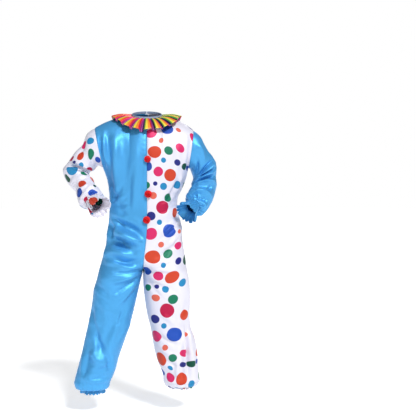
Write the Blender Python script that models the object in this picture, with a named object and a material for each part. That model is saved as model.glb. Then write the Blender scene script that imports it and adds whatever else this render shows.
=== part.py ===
"""Clown costume jumpsuit, worn open and empty: two-tone body, gathered rainbow collar, elastic cuffs.

Metres, +Z up, the front faces -Y. The origin is the middle of the neck opening, where a wearer's
neck and shoulders carry the garment. Every cloth piece is a thin wall lofted through sections, and the
tables give those sections as real sizes. "Outward" is the distance from the middle plane, away from it
on either side, so one set of functions makes both halves.
"""

import math

import bmesh
import bpy
import numpy as np
from mathutils import Vector
from mathutils.bvhtree import BVHTree

# Cloth and seams
CLOTH = 0.0014
TRIM = 0.0012
SEAM_GAP = 0.0003
RIGHT, LEFT = -1, 1

# Grid sizes: columns across a panel, rows up the body, rows along a sleeve
PANEL_COLUMNS = 9
NECK_COLUMNS = 3
LEG_ROWS = 15
RISE_ROWS = 5
TORSO_ROWS = 11
YOKE_ROWS = 10
SLEEVE_ROWS = 19

# Heights of the body's main levels
HEM_Z = -1.345
CROTCH_Z = -0.777
RISE_Z = -0.675
ARMPIT_Z = -0.256

# Widths of each half of the body, from the hem up to the armpit: height, outward edge, inseam edge
BODY_WIDTHS = {
    RIGHT: (
        (-1.357, 0.376, 0.196),
        (-1.285, 0.357, 0.164),
        (-1.214, 0.338, 0.144),
        (-1.122, 0.317, 0.112),
        (-1.015, 0.293, 0.078),
        (-0.923, 0.277, 0.056),
        (-0.862, 0.269, 0.042),
        (-0.826, 0.257, 0.034),
        (-0.777, 0.245, 0.021),
        (-0.699, 0.223, 0.015),
        (-0.643, 0.209, 0.006),
        (-0.576, 0.203, 0.003),
        (-0.530, 0.195, 0.000),
        (-0.469, 0.190, 0.000),
        (-0.408, 0.189, 0.000),
        (-0.352, 0.194, 0.000),
        (-0.301, 0.205, 0.000),
        (-0.256, 0.222, 0.000),
    ),
    LEFT: (
        (-1.357, 0.270, 0.082),
        (-1.304, 0.263, 0.078),
        (-1.239, 0.259, 0.052),
        (-1.170, 0.252, 0.034),
        (-1.122, 0.241, 0.026),
        (-1.065, 0.221, 0.016),
        (-1.015, 0.217, 0.003),
        (-0.952, 0.218, -0.008),
        (-0.875, 0.218, -0.017),
        (-0.826, 0.213, -0.020),
        (-0.777, 0.204, -0.021),
        (-0.699, 0.192, -0.015),
        (-0.622, 0.180, -0.005),
        (-0.546, 0.175, 0.000),
        (-0.500, 0.164, 0.000),
        (-0.440, 0.154, 0.000),
        (-0.400, 0.158, 0.000),
        (-0.364, 0.177, 0.000),
        (-0.301, 0.200, 0.000),
        (-0.256, 0.210, 0.000),
    ),
}
# Depth of the body in front of and behind its middle: height, front, back
BODY_DEPTHS = (
    (-1.357, 0.088, 0.090),
    (-1.285, 0.092, 0.096),
    (-1.214, 0.095, 0.100),
    (-1.122, 0.099, 0.102),
    (-1.015, 0.104, 0.104),
    (-0.923, 0.110, 0.114),
    (-0.862, 0.114, 0.122),
    (-0.777, 0.121, 0.133),
    (-0.699, 0.126, 0.138),
    (-0.643, 0.128, 0.136),
    (-0.576, 0.130, 0.126),
    (-0.530, 0.129, 0.116),
    (-0.469, 0.127, 0.106),
    (-0.408, 0.126, 0.102),
    (-0.352, 0.127, 0.106),
    (-0.301, 0.128, 0.112),
    (-0.256, 0.127, 0.116),
)
# The middle seam from the crotch up, where it pulls to the wearer's right: height, X
MIDDLE_LINE = (
    (-0.777, -0.021),
    (-0.699, -0.015),
    (-0.643, -0.008),
    (-0.576, -0.002),
    (-0.550, 0.0),
    (-0.530, 0.0),
    (-0.256, 0.0),
)
SECTION_SQUARENESS = 0.88
SECTION_STEPS = 61

# The leg's cloth blouses over the ankle elastic: height above the elastic, share of the way in to it
BLOUSE = ((-0.010, 0.05), (-0.024, 0.17), (-0.031, 0.38), (-0.025, 0.62), (-0.010, 0.86), (0.0, 1.0))
ANKLE = {RIGHT: (0.279, 0.004, -1.346), LEFT: (0.170, 0.004, -1.336)}
ANKLE_RADIUS = 0.047
ANKLE_FRILL_DROP = {RIGHT: 0.054, LEFT: 0.044}
ANKLE_FRILL_RADIUS = 0.059

# Neck opening: half width, front to back half depth, its middle and its rise from front to back
NECK_HALF_WIDTH = 0.076
NECK_HALF_DEPTH = 0.066
NECK_Y = -0.004
NECK_Z = 0.005
NECK_RISE = 0.018

# Chest and back profile on the middle line above the armpit: share of the height, depth
CHEST_LINE = ((0.0, 0.127), (0.4, 0.119), (0.7, 0.103), (0.88, 0.087), (1.0, 0.070))
BACK_LINE = ((0.0, 0.116), (0.4, 0.127), (0.7, 0.118), (0.88, 0.095), (1.0, 0.062))

# Sections along each sleeve, shoulder to wrist elastic. Each is a ring through an outer and an inner point
# of the sleeve's outline: outer outward and height, inner outward and height, middle Y, half depth
SLEEVE_SECTIONS = {
    RIGHT: (
        (0.264, -0.054, 0.222, -0.256, 0.000, 0.075),
        (0.300, -0.082, 0.243, -0.243, 0.004, 0.072),
        (0.322, -0.134, 0.256, -0.251, 0.010, 0.068),
        (0.358, -0.170, 0.270, -0.268, 0.016, 0.065),
        (0.398, -0.222, 0.284, -0.273, 0.022, 0.063),
        (0.424, -0.264, 0.292, -0.284, 0.022, 0.060),
        (0.411, -0.312, 0.288, -0.299, 0.010, 0.059),
        (0.386, -0.347, 0.270, -0.316, -0.008, 0.060),
        (0.359, -0.374, 0.258, -0.346, -0.034, 0.058),
        (0.346, -0.410, 0.240, -0.364, -0.056, 0.058),
        (0.328, -0.442, 0.223, -0.380, -0.076, 0.056),
        (0.306, -0.454, 0.219, -0.391, -0.090, 0.050),
        (0.292, -0.456, 0.228, -0.397, -0.114, 0.043),
    ),
    LEFT: (
        (0.238, -0.065, 0.210, -0.256, 0.000, 0.075),
        (0.266, -0.090, 0.223, -0.261, 0.001, 0.074),
        (0.284, -0.124, 0.229, -0.276, 0.010, 0.071),
        (0.312, -0.168, 0.236, -0.296, 0.018, 0.068),
        (0.344, -0.206, 0.236, -0.314, 0.024, 0.067),
        (0.354, -0.248, 0.227, -0.334, 0.026, 0.067),
        (0.355, -0.298, 0.226, -0.355, 0.020, 0.067),
        (0.352, -0.344, 0.217, -0.374, 0.008, 0.067),
        (0.345, -0.384, 0.203, -0.391, -0.012, 0.066),
        (0.326, -0.422, 0.196, -0.405, -0.040, 0.063),
        (0.310, -0.454, 0.198, -0.415, -0.062, 0.058),
        (0.284, -0.481, 0.201, -0.425, -0.084, 0.050),
        (0.257, -0.470, 0.205, -0.424, -0.100, 0.036),
    ),
}
SLEEVE_HEADING = 0.32
# Shares of the sleeve over which its rings turn from the armhole and its folds fade to the wrist
SLEEVE_TURN_SHARE = 0.12
SLEEVE_WRIST_SHARE = 0.08
# Wrist frills: outward, Y and height of the free edge's middle, radius at the edge
WRIST_FRILL = {
    RIGHT: (0.227, -0.150, -0.452, 0.056),
    LEFT: (0.195, -0.139, -0.479, 0.056),
}
# Rows of a frill: share of its length, share of its flare, share of its waves' depth
FRILL_STEPS = ((-0.01, 0.0, 0.0), (0.1, 0.0, 0.0), (0.5, 0.35, 0.5), (1.0, 1.0, 1.0))
FRILL_WAVE_DEPTH = 0.0055
FRILL_SEAM_GAP = 0.0006

# Collar: flutes, and the free edge's half width, front and back reach, and height at side, front and back
COLLAR_FLUTES = 20
COLLAR_HALF_WIDTH = 0.172
COLLAR_FRONT = 0.116
COLLAR_BACK = 0.138
COLLAR_SIDE_Z = -0.003
COLLAR_FRONT_Z = -0.071
COLLAR_BACK_Z = -0.045
COLLAR_STEPS = (0.0, 0.3, 0.65, 1.0)
COLLAR_FLUTE_DEPTH = 0.0085
COLLAR_ROOT_WAVE = 0.12
COLLAR_CLEARANCE = 0.0026
COLLAR_SET_OUT = 0.0016
COLLAR_SET_UP = 0.0048
COLLAR_BOW = 0.008
COLLAR_LIFT_SLOPE = 0.12
BAND_HEIGHT = 0.0135
BAND_LEAN = -0.0015
BAND_BASE = 0.0010
BAND_SEGMENTS = 44
BACK_SPLIT_ANGLE = 0.10
BAND_SPLIT_ANGLE = 0.016

# Largest folds of the body: side, 1 front or -1 back, start outward and height, end outward and height,
# half width, depth outwards (a trough is negative)
BODY_FOLDS = (
    (RIGHT, 1, 0.196, -0.100, 0.186, -0.330, 0.020, -0.010),
    (RIGHT, 1, 0.165, -0.120, 0.160, -0.360, 0.022, 0.006),
    (RIGHT, 1, 0.118, -0.130, 0.110, -0.420, 0.024, -0.005),
    (RIGHT, 1, 0.160, -0.400, 0.120, -0.480, 0.018, -0.007),
    (RIGHT, 1, 0.190, -0.560, 0.140, -0.620, 0.020, -0.012),
    (RIGHT, 1, 0.150, -0.572, 0.045, -0.628, 0.022, 0.010),
    (RIGHT, 1, 0.190, -0.640, 0.070, -0.680, 0.022, -0.009),
    (RIGHT, 1, 0.215, -0.685, 0.120, -0.700, 0.022, 0.007),
    (RIGHT, 1, 0.215, -0.740, 0.040, -0.745, 0.022, -0.009),
    (RIGHT, 1, 0.210, -0.810, 0.050, -0.790, 0.024, 0.008),
    (RIGHT, 1, 0.150, -0.865, 0.040, -0.800, 0.020, -0.009),
    (RIGHT, 1, 0.130, -0.960, 0.060, -0.880, 0.022, -0.007),
    (RIGHT, 1, 0.215, -1.200, 0.100, -1.050, 0.028, 0.010),
    (RIGHT, 1, 0.310, -1.270, 0.270, -1.060, 0.024, -0.008),
    (RIGHT, 1, 0.300, -1.300, 0.230, -1.240, 0.024, 0.009),
    (LEFT, 1, 0.165, -0.330, 0.120, -0.420, 0.018, -0.008),
    (LEFT, 1, 0.150, -0.500, 0.060, -0.530, 0.018, -0.007),
    (LEFT, 1, 0.170, -0.560, 0.090, -0.580, 0.020, 0.008),
    (LEFT, 1, 0.150, -0.660, 0.050, -0.690, 0.024, -0.007),
    (LEFT, 1, 0.170, -0.780, 0.040, -0.760, 0.024, 0.006),
    (LEFT, 1, 0.140, -0.870, 0.010, -0.820, 0.022, -0.008),
    (LEFT, 1, 0.190, -1.030, 0.190, -1.130, 0.020, -0.009),
    (LEFT, 1, 0.160, -1.120, 0.060, -1.080, 0.026, 0.007),
    (LEFT, 1, 0.215, -1.170, 0.190, -1.290, 0.022, -0.008),
    (LEFT, 1, 0.210, -1.310, 0.110, -1.290, 0.022, -0.007),
    (RIGHT, -1, 0.150, -0.120, 0.130, -0.400, 0.024, -0.008),
    (RIGHT, -1, 0.080, -0.180, 0.070, -0.480, 0.024, 0.006),
    (RIGHT, -1, 0.180, -0.520, 0.060, -0.600, 0.024, -0.010),
    (RIGHT, -1, 0.190, -0.640, 0.050, -0.680, 0.026, 0.009),
    (RIGHT, -1, 0.200, -0.760, 0.050, -0.800, 0.024, -0.010),
    (RIGHT, -1, 0.230, -1.020, 0.120, -1.080, 0.026, -0.009),
    (RIGHT, -1, 0.290, -1.180, 0.200, -1.240, 0.026, 0.009),
    (LEFT, -1, 0.140, -0.140, 0.130, -0.400, 0.024, -0.008),
    (LEFT, -1, 0.140, -0.460, 0.060, -0.560, 0.022, -0.009),
    (LEFT, -1, 0.150, -0.640, 0.050, -0.670, 0.026, 0.008),
    (LEFT, -1, 0.180, -0.770, 0.030, -0.810, 0.024, -0.010),
    (LEFT, -1, 0.180, -1.010, 0.060, -1.070, 0.026, -0.009),
    (LEFT, -1, 0.220, -1.180, 0.110, -1.230, 0.026, 0.009),
)
SEAM_CALM = 0.035
# Where a normal's sense is read: rows above the crotch, and a column well inside a panel
ROWS_CLEAR_OF_CROTCH = 6
INNER_COLUMN = 4
# Depth over which a fold on the front or back fades out towards the side
FOLD_SIDE_FADE = 0.06
# Share of the folds kept in the last two rows, at the neck and shoulder seams
TOP_ROWS_CALM = (0.5, 0.0)

# Largest folds of the sleeves: side, share of the length, degrees round from the outer side over the front,
# half width along and round (degrees), depth
SLEEVE_FOLDS = (
    (RIGHT, 0.20, 60, 0.08, 30, -0.006),
    (RIGHT, 0.25, 75, 0.045, 50, 0.006),
    (RIGHT, 0.345, 85, 0.035, 60, -0.010),
    (RIGHT, 0.45, 65, 0.05, 50, 0.007),
    (RIGHT, 0.66, 20, 0.045, 70, -0.008),
    (RIGHT, 0.74, 120, 0.04, 60, 0.007),
    (RIGHT, 0.83, 30, 0.05, 60, 0.006),
    (RIGHT, 0.40, 250, 0.05, 50, -0.007),
    (RIGHT, 0.62, 280, 0.05, 50, 0.007),
    (LEFT, 0.16, 70, 0.06, 40, 0.006),
    (LEFT, 0.30, 110, 0.06, 45, -0.011),
    (LEFT, 0.42, 60, 0.035, 55, 0.008),
    (LEFT, 0.50, 90, 0.03, 70, -0.009),
    (LEFT, 0.58, 60, 0.035, 60, 0.009),
    (LEFT, 0.66, 100, 0.03, 70, -0.009),
    (LEFT, 0.75, 70, 0.035, 70, 0.009),
    (LEFT, 0.84, 110, 0.035, 60, -0.008),
    (LEFT, 0.45, 260, 0.05, 50, -0.007),
    (LEFT, 0.70, 270, 0.05, 60, 0.007),
)

# Pompoms on the front seam: outward on the wearer's left, height, radius
POMPOMS = ((0.003, -0.212, 0.0170), (0.006, -0.385, 0.0188), (-0.002, -0.513, 0.0184))
POMPOM_CORE = 0.74
POMPOM_SEAT = 0.62
POMPOM_SEAT_GAP = 0.0004
POMPOM_LOCK_LIMIT = 0.28
POMPOM_RAY_Y = -0.4

# Zip in the middle of the back, its slider and pull tab
ZIP_BOTTOM_Z = -0.545
ZIP_END_TAPER = 0.030
ZIP_HALF_OPENING = 0.0042
# The tape starts this far above the opening's foot, follows the panels from the next, and stops under the neck
TAPE_START = 0.014
TAPE_FOLLOW = 0.030
TAPE_TOP_GAP = 0.0008
SLIDER_DROP = 0.014
SLIDER = (0.0088, 0.0026, 0.0110)
SLIDER_GAP = 0.0003
BRIDGE_BAR = 0.0011
BRIDGE_WIDTH = 0.0020
BRIDGE_LENGTH = 0.0070
BRIDGE_HOLE = 0.0020
PULL_ROD = 0.0006
PULL_GAP = 0.0003
PULL_HALF_SPREAD = 0.0025
PULL_LENGTH = 0.026
PULL_THICKNESS = 0.0013
PULL_LOOP = 0.0060
# Overlapping boxes differ a little in width, so that their union has no faces on one plane
POST_INSET = 0.98
POST_SINK = 0.0006
PLATE_INSET = 0.98
PLATE_MARGIN = 0.0017
SLOPE_STEP = 0.006

COLOURS = {
    "blue_satin": ((0.10, 0.42, 0.80), 0.34, 0.0),
    "dotted_satin": ((0.86, 0.86, 0.90), 0.45, 0.0),
    "rainbow_stripe": ((0.85, 0.22, 0.12), 0.45, 0.0),
    "grey_binding": ((0.45, 0.48, 0.62), 0.6, 0.0),
    "red_yarn": ((0.78, 0.02, 0.05), 0.85, 0.0),
    "zip_tape": ((0.16, 0.42, 0.72), 0.6, 0.0),
    "zip_metal": ((0.62, 0.64, 0.67), 0.35, 1.0),
}


def material(name):
    found = bpy.data.materials.get(name)
    if found:
        return found
    colour, roughness, metallic = COLOURS[name]
    made = bpy.data.materials.new(name)
    made.use_nodes = True
    shader = made.node_tree.nodes["Principled BSDF"]
    shader.inputs["Base Color"].default_value = (*colour, 1.0)
    shader.inputs["Roughness"].default_value = roughness
    shader.inputs["Metallic"].default_value = metallic
    return made


def unit(vectors):
    return vectors / np.maximum(np.linalg.norm(vectors, axis=-1, keepdims=True), 1e-12)


def eased(share):
    share = np.clip(share, 0.0, 1.0)
    return share * share * (3.0 - 2.0 * share)


def flowing(at, knots, values):
    """A smooth curve through rows of values, one row for each knot, read at one or many places."""
    knots, values = np.asarray(knots, float), np.asarray(values, float)
    at = np.clip(np.atleast_1d(np.asarray(at, float)), knots[0], knots[-1])
    if values.ndim == 1:
        values = values[:, None]
    steps = np.diff(knots)[:, None]
    slopes = np.diff(values, axis=0) / steps
    tangents = np.empty_like(values)
    tangents[0], tangents[-1] = slopes[0], slopes[-1]
    tangents[1:-1] = (slopes[:-1] * steps[1:] + slopes[1:] * steps[:-1]) / (steps[1:] + steps[:-1])
    low = np.clip(np.searchsorted(knots, at, side="right") - 1, 0, len(knots) - 2)
    width = steps[low]
    share = ((at - knots[low]) / width[:, 0])[:, None]
    return (
        values[low] * (2 * share**3 - 3 * share**2 + 1)
        + tangents[low] * width * (share**3 - 2 * share**2 + share)
        + values[low + 1] * (3 * share**2 - 2 * share**3)
        + tangents[low + 1] * width * (share**3 - share**2)
    )


def evenly(points, count):
    """The same line with count + 1 points at equal distances along it."""
    lengths = np.concatenate([[0.0], np.cumsum(np.linalg.norm(np.diff(points, axis=0), axis=1))])
    wanted = np.linspace(0.0, lengths[-1], count + 1)
    return np.stack([np.interp(wanted, lengths, points[:, axis]) for axis in range(3)], axis=1)


def neck_ring(angle):
    """A point of the neck seam, in world terms: angle 0 is the front, a quarter turn the wearer's left."""
    angle = np.asarray(angle, float)
    return np.stack(
        [
            NECK_HALF_WIDTH * np.sin(angle),
            NECK_Y - NECK_HALF_DEPTH * np.cos(angle),
            NECK_Z - NECK_RISE * np.cos(angle),
        ],
        axis=-1,
    )


def middle_x(height):
    """X of the middle seam at a height."""
    line = np.array(MIDDLE_LINE)
    return float(flowing(height, line[:, 0], line[:, 1])[0, 0])


def body_section(side, height):
    """The front and the back line of one half at a height, each from the middle or inseam to the side seam."""
    widths, depths = np.array(BODY_WIDTHS[side]), np.array(BODY_DEPTHS)
    outer, inner = flowing(height, widths[:, 0], widths[:, 1:])[0]
    front, back = flowing(height, depths[:, 0], depths[:, 1:])[0]
    if height >= CROTCH_Z:
        inner = side * middle_x(height)
    middle = (inner + outer) / 2
    start = -math.pi / 2
    if height > CROTCH_Z:
        merged = float(eased((height - CROTCH_Z) / (RISE_Z - CROTCH_Z)))
        far = inner - (outer - inner) * merged
        middle = (far + outer) / 2
        reach = (middle - inner) / (outer - middle)
        start = -math.asin(min(1.0, max(0.0, reach) ** (1 / SECTION_SQUARENESS)))
    angle = np.linspace(start, math.pi / 2, SECTION_STEPS)
    sine, cosine = np.sin(angle), np.cos(angle)
    across = middle + (outer - middle) * np.sign(sine) * np.abs(sine) ** SECTION_SQUARENESS
    depth = np.clip(cosine, 0.0, 1.0) ** SECTION_SQUARENESS
    level = np.full_like(angle, height)
    front_line = np.stack([across, -front * depth, level], axis=1)
    back_line = np.stack([across, back * depth, level], axis=1)
    return front_line, back_line


def body_rows(side, height):
    """One row of the half body: middle or inseam, front, side seam, back, middle or inseam."""
    front_line, back_line = body_section(side, height)
    front = evenly(front_line, PANEL_COLUMNS)
    back = evenly(back_line, PANEL_COLUMNS)[::-1]
    return np.concatenate([front, back[1:]])


def ankle_ring(side, count, closed=False):
    """The ankle elastic's stitch line, from the inseam round by the front. Closed repeats the first point."""
    out, y, height = ANKLE[side]
    turn = np.linspace(0.0, 2 * math.pi, count + closed, endpoint=closed)
    across, depth = np.cos(turn), np.sin(turn)
    return np.stack(
        [out - ANKLE_RADIUS * across, y - ANKLE_RADIUS * depth, np.full(len(turn), height)], axis=1
    )


def blouse_rows(side):
    """The leg's end, from the ankle elastic out and down under the hem's roll."""
    hem = body_rows(side, HEM_Z)
    ankle = ankle_ring(side, len(hem) - 1, closed=True)
    height = ANKLE[side][2]
    rows = []
    for rise, share in reversed(BLOUSE):
        row = hem * (1 - share) + ankle * share
        row[:, 2] = height + rise
        rows.append(row)
    return rows


def armhole_ring(side, angle):
    """The armhole seam: angle 0 is the shoulder's tip, a quarter turn the front, a half turn the armpit."""
    outer_x, outer_z, inner_x, inner_z, y, depth = SLEEVE_SECTIONS[side][0]
    angle = np.asarray(angle, float)
    half_x, half_z = (outer_x - inner_x) / 2, (outer_z - inner_z) / 2
    return np.stack(
        [
            (outer_x + inner_x) / 2 + half_x * np.cos(angle),
            y - depth * np.sin(angle),
            (outer_z + inner_z) / 2 + half_z * np.cos(angle),
        ],
        axis=-1,
    )


def shoulder_line(side, count):
    """The shoulder seam, from the neck seam's side to the armhole's tip."""
    start = neck_ring(math.pi / 2)
    tip = armhole_ring(side, 0.0)
    share = np.linspace(0.0, 1.0, count + 1)
    line = start + (tip - start) * share[:, None]
    line[:, 2] = start[2] + (tip[2] - start[2]) * share**2
    return line


def yoke_panel(side, facing):
    """Rows from the armpit up to the neck and shoulder seams, front (1) or back (-1), middle to side."""
    front_line, back_line = body_section(side, ARMPIT_Z)
    bottom = evenly(front_line if facing > 0 else back_line, PANEL_COLUMNS)
    quarter = np.linspace(0.0, math.pi / 2, NECK_COLUMNS + 1)
    neck = neck_ring(quarter if facing > 0 else math.pi - quarter)
    shoulder = shoulder_line(side, PANEL_COLUMNS - NECK_COLUMNS)
    top = np.concatenate([neck, shoulder[1:]])
    share = np.linspace(0.0, 1.0, YOKE_ROWS + 1)
    profile = np.array(CHEST_LINE if facing > 0 else BACK_LINE)
    middle_depth = flowing(share, profile[:, 0], profile[:, 1])[:, 0]
    middle = np.stack(
        [
            np.zeros_like(share),
            -facing * middle_depth,
            bottom[0, 2] + (top[0, 2] - bottom[0, 2]) * share,
        ],
        axis=1,
    )
    edge = armhole_ring(side, math.pi - facing * math.pi * share)
    up = share[:, None, None]
    across = np.linspace(0.0, 1.0, PANEL_COLUMNS + 1)[None, :, None]
    ruled = bottom[None] * (1 - up) + top[None] * up
    sides = middle[:, None] * (1 - across) + edge[:, None] * across
    corners = (bottom[0] * (1 - across) + bottom[-1] * across) * (1 - up)
    corners = corners + (top[0] * (1 - across) + top[-1] * across) * up
    return ruled + sides - corners


def fold_push(side, points):
    """How far each point of a half body moves outwards for the folds, before it does."""
    push = np.zeros(points.shape[:-1])
    across, depth, height = points[..., 0], points[..., 1], points[..., 2]
    for fold_side, facing, x0, z0, x1, z1, width, reach in BODY_FOLDS:
        if fold_side != side:
            continue
        run = np.array([x1 - x0, z1 - z0])
        share = ((across - x0) * run[0] + (height - z0) * run[1]) / (run @ run)
        share = np.clip(share, 0.0, 1.0)
        away = np.hypot(across - x0 - share * run[0], height - z0 - share * run[1])
        facing_share = eased(-facing * depth / FOLD_SIDE_FADE)
        push += reach * np.exp(-((away / width) ** 2)) * facing_share
    return push


def grid_normals(grid, closed=False):
    """Unit normals of a grid of points. A closed grid's last column meets its first."""
    if closed:
        around = np.roll(grid, -1, axis=1) - np.roll(grid, 1, axis=1)
    else:
        around = np.gradient(grid, axis=1)
    along = np.gradient(grid, axis=0)
    return unit(np.cross(around, along))


def half_body(side):
    """Points and normals of one half, as rows from the ankle elastic to the shoulder, outward positive."""
    leg = np.linspace(HEM_Z, CROTCH_Z, LEG_ROWS + 1)
    rise = np.linspace(CROTCH_Z, RISE_Z, RISE_ROWS + 1)[1:]
    torso = np.linspace(RISE_Z, ARMPIT_Z, TORSO_ROWS + 1)[1:]
    rows = blouse_rows(side) + [body_rows(side, z) for z in (*leg, *rise, *torso)]
    front, back = yoke_panel(side, 1), yoke_panel(side, -1)
    for row in range(1, YOKE_ROWS + 1):
        rows.append(np.concatenate([front[row], back[row][::-1][1:]]))
    grid = np.stack(rows)
    crotch_row = len(BLOUSE) + LEG_ROWS
    normals = half_normals(grid, crotch_row)
    from_middle = np.minimum(
        np.linalg.norm(grid - grid[:, :1], axis=2), np.linalg.norm(grid - grid[:, -1:], axis=2)
    )
    calm = eased(from_middle / SEAM_CALM)
    from_armhole = np.linalg.norm(grid - grid[:, PANEL_COLUMNS : PANEL_COLUMNS + 1], axis=2)
    yoke = len(grid) - 2 - YOKE_ROWS
    calm[yoke:] *= eased(from_armhole[yoke:] / SEAM_CALM)
    calm[-2:] *= np.array(TOP_ROWS_CALM)[:, None]
    grid = grid + normals * (fold_push(side, grid) * calm)[..., None]
    return grid, half_normals(grid, crotch_row), crotch_row


def half_normals(grid, crotch_row):
    """Normals that point out of the cloth, equal on both sides of the inseam and of the shoulder seam."""
    normals = grid_normals(grid)
    normals[:, PANEL_COLUMNS] = unit(normals[:, PANEL_COLUMNS - 1] + normals[:, PANEL_COLUMNS + 1])
    middle_axis = grid[:, PANEL_COLUMNS, 0] - grid[:, 0, 0]
    body = slice(crotch_row + ROWS_CLEAR_OF_CROTCH, None)
    if np.mean(normals[body, PANEL_COLUMNS, 0] * middle_axis[body]) < 0:
        normals = -normals
    legs = slice(0, crotch_row)
    inseam = unit(normals[legs, 0] + normals[legs, -1])
    normals[legs, 0] = normals[legs, -1] = inseam
    normals[crotch_row, 0] = normals[crotch_row, -1] = (0.0, 0.0, -1.0)
    top = normals[-1]
    shoulder = unit(top + top[::-1])
    on_shoulder = slice(NECK_COLUMNS, 2 * PANEL_COLUMNS - NECK_COLUMNS + 1)
    normals[-1, on_shoulder] = shoulder[on_shoulder]
    return normals


def flatten_middle(normals, first_row):
    """Above the crotch the middle seams' normals lie in the middle plane, so both halves share them."""
    for column in (0, -1):
        normals[first_row:, column, 0] = 0.0
        normals[first_row:, column] = unit(normals[first_row:, column])


def sleeve_grid(side, rows):
    """Points and normals of a sleeve, from the armhole to the wrist elastic, outward positive."""
    table = np.array(SLEEVE_SECTIONS[side])
    knots = np.linspace(0.0, 1.0, len(table))
    share = np.linspace(0.0, 1.0, rows + 1)
    read = flowing(share, knots, table)
    outer = np.stack([read[:, 0], read[:, 4], read[:, 1]], axis=1)
    inner = np.stack([read[:, 2], read[:, 4], read[:, 3]], axis=1)
    middle, half = (outer + inner) / 2, (outer - inner) / 2
    window = round(rows * SLEEVE_HEADING / 2)
    index = np.arange(rows + 1)
    heading = middle[np.minimum(index + window, rows)] - middle[np.maximum(index - window, 0)]
    forward = unit(np.cross(unit(heading), unit(half)))
    turning = eased(share / SLEEVE_TURN_SHARE)[:, None]
    forward = np.array([0.0, -1.0, 0.0]) * (1 - turning) + forward * turning
    forward = unit(forward) * read[:, 5:6]
    columns = 2 * YOKE_ROWS
    turn = np.linspace(0.0, 2 * math.pi, columns, endpoint=False)[None, :, None]
    grid = middle[:, None] + half[:, None] * np.cos(turn) + forward[:, None] * np.sin(turn)
    push = np.zeros(grid.shape[:2])
    degrees = np.degrees(turn[..., 0])
    for fold_side, at, centre, along, round_width, reach in SLEEVE_FOLDS:
        if fold_side == side:
            off = (degrees - centre + 180.0) % 360.0 - 180.0
            shape = np.exp(-(((share[:, None] - at) / along) ** 2) - (off / round_width) ** 2)
            push += reach * shape
    normals = sleeve_normals(grid, middle)
    ends = eased(share / SLEEVE_TURN_SHARE) * eased((1.0 - share) / SLEEVE_WRIST_SHARE)
    grid = grid + normals * (push * ends[:, None])[..., None]
    return grid, sleeve_normals(grid, middle)


def sleeve_normals(grid, middle):
    normals = grid_normals(grid, closed=True)
    if np.mean(np.sum(normals * (grid - middle[:, None]), axis=2)) < 0:
        normals = -normals
    return normals


def pull_in(grid, edges, distance):
    """Moves the named edges of a grid of points a little way into it, which leaves the seam's gap."""
    moved = grid.copy()
    for edge in edges:
        at, beside = {
            "first_column": (np.s_[:, 0], np.s_[:, 1]),
            "last_column": (np.s_[:, -1], np.s_[:, -2]),
            "first_row": (np.s_[0], np.s_[1]),
            "last_row": (np.s_[-1], np.s_[-2]),
        }[edge]
        moved[at] = moved[at] + unit(moved[beside] - moved[at]) * distance
    return moved


def to_world(side, vectors):
    return vectors * np.array([side, 1.0, 1.0])


def new_object(name, mesh, material_name, smooth=True):
    made = bpy.data.objects.new(name, mesh)
    mesh.materials.append(material(material_name))
    garment.objects.link(made)
    if smooth:
        mesh.shade_smooth()
        mesh.set_sharp_from_angle(angle=math.radians(50))
    return made


def cloth_wall(name, grid, normals, thickness, material_name, closed=False):
    """A wall of cloth: the grid moved half a thickness out and in along its normals, joined at the rims."""
    rows, columns = grid.shape[:2]
    half = thickness / 2
    points = np.concatenate([(grid + normals * half).reshape(-1, 3), (grid - normals * half).reshape(-1, 3)])
    middles = grid.reshape(-1, 3)
    inside = rows * columns
    wrap = columns if closed else columns - 1
    faces = []

    def gap(first, second):
        return round(float(np.linalg.norm(middles[first] - middles[second])), 6)

    for row in range(rows - 1):
        for column in range(wrap):
            a, b = row * columns + column, row * columns + (column + 1) % columns
            c, d = b + columns, a + columns
            split = ((a, b, c), (a, c, d)) if gap(a, c) <= gap(b, d) else ((a, b, d), (b, c, d))
            for corners in split:
                faces.append(corners)
                faces.append(tuple(inside + corner for corner in reversed(corners)))
    for column in range(wrap):
        a, b = column, (column + 1) % columns
        c, d = a + (rows - 1) * columns, b + (rows - 1) * columns
        faces.append((b, a, inside + a, inside + b))
        faces.append((c, d, inside + d, inside + c))
    if not closed:
        for row in range(rows - 1):
            a, b = row * columns, (row + 1) * columns
            c, d = a + columns - 1, b + columns - 1
            faces.append((a, b, inside + b, inside + a))
            faces.append((d, c, inside + c, inside + d))
    mesh = bpy.data.meshes.new(name)
    mesh.from_pydata([tuple(p) for p in points], [], faces)
    work = bmesh.new()
    work.from_mesh(mesh)
    bmesh.ops.recalc_face_normals(work, faces=work.faces)
    work.to_mesh(mesh)
    work.free()
    return new_object(name, mesh, material_name)


def zip_opening(height):
    """Half the width between the back panels at a height: the zip's, closing to a seam below it."""
    closing = float(eased((height - ZIP_BOTTOM_Z) / ZIP_END_TAPER))
    return SEAM_GAP / 2 + (ZIP_HALF_OPENING - SEAM_GAP / 2) * closing


def open_for_zip(panel, row_count):
    """Moves a back panel's middle edge aside for the zip, and the next columns part of the way."""
    for row in range(row_count):
        height = panel[row, -1, 2]
        if height > ZIP_BOTTOM_Z:
            aside = zip_opening(height) - SEAM_GAP / 2
            panel[row, -1, 0] += aside
            panel[row, -2, 0] += aside / 2
    return panel


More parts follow.
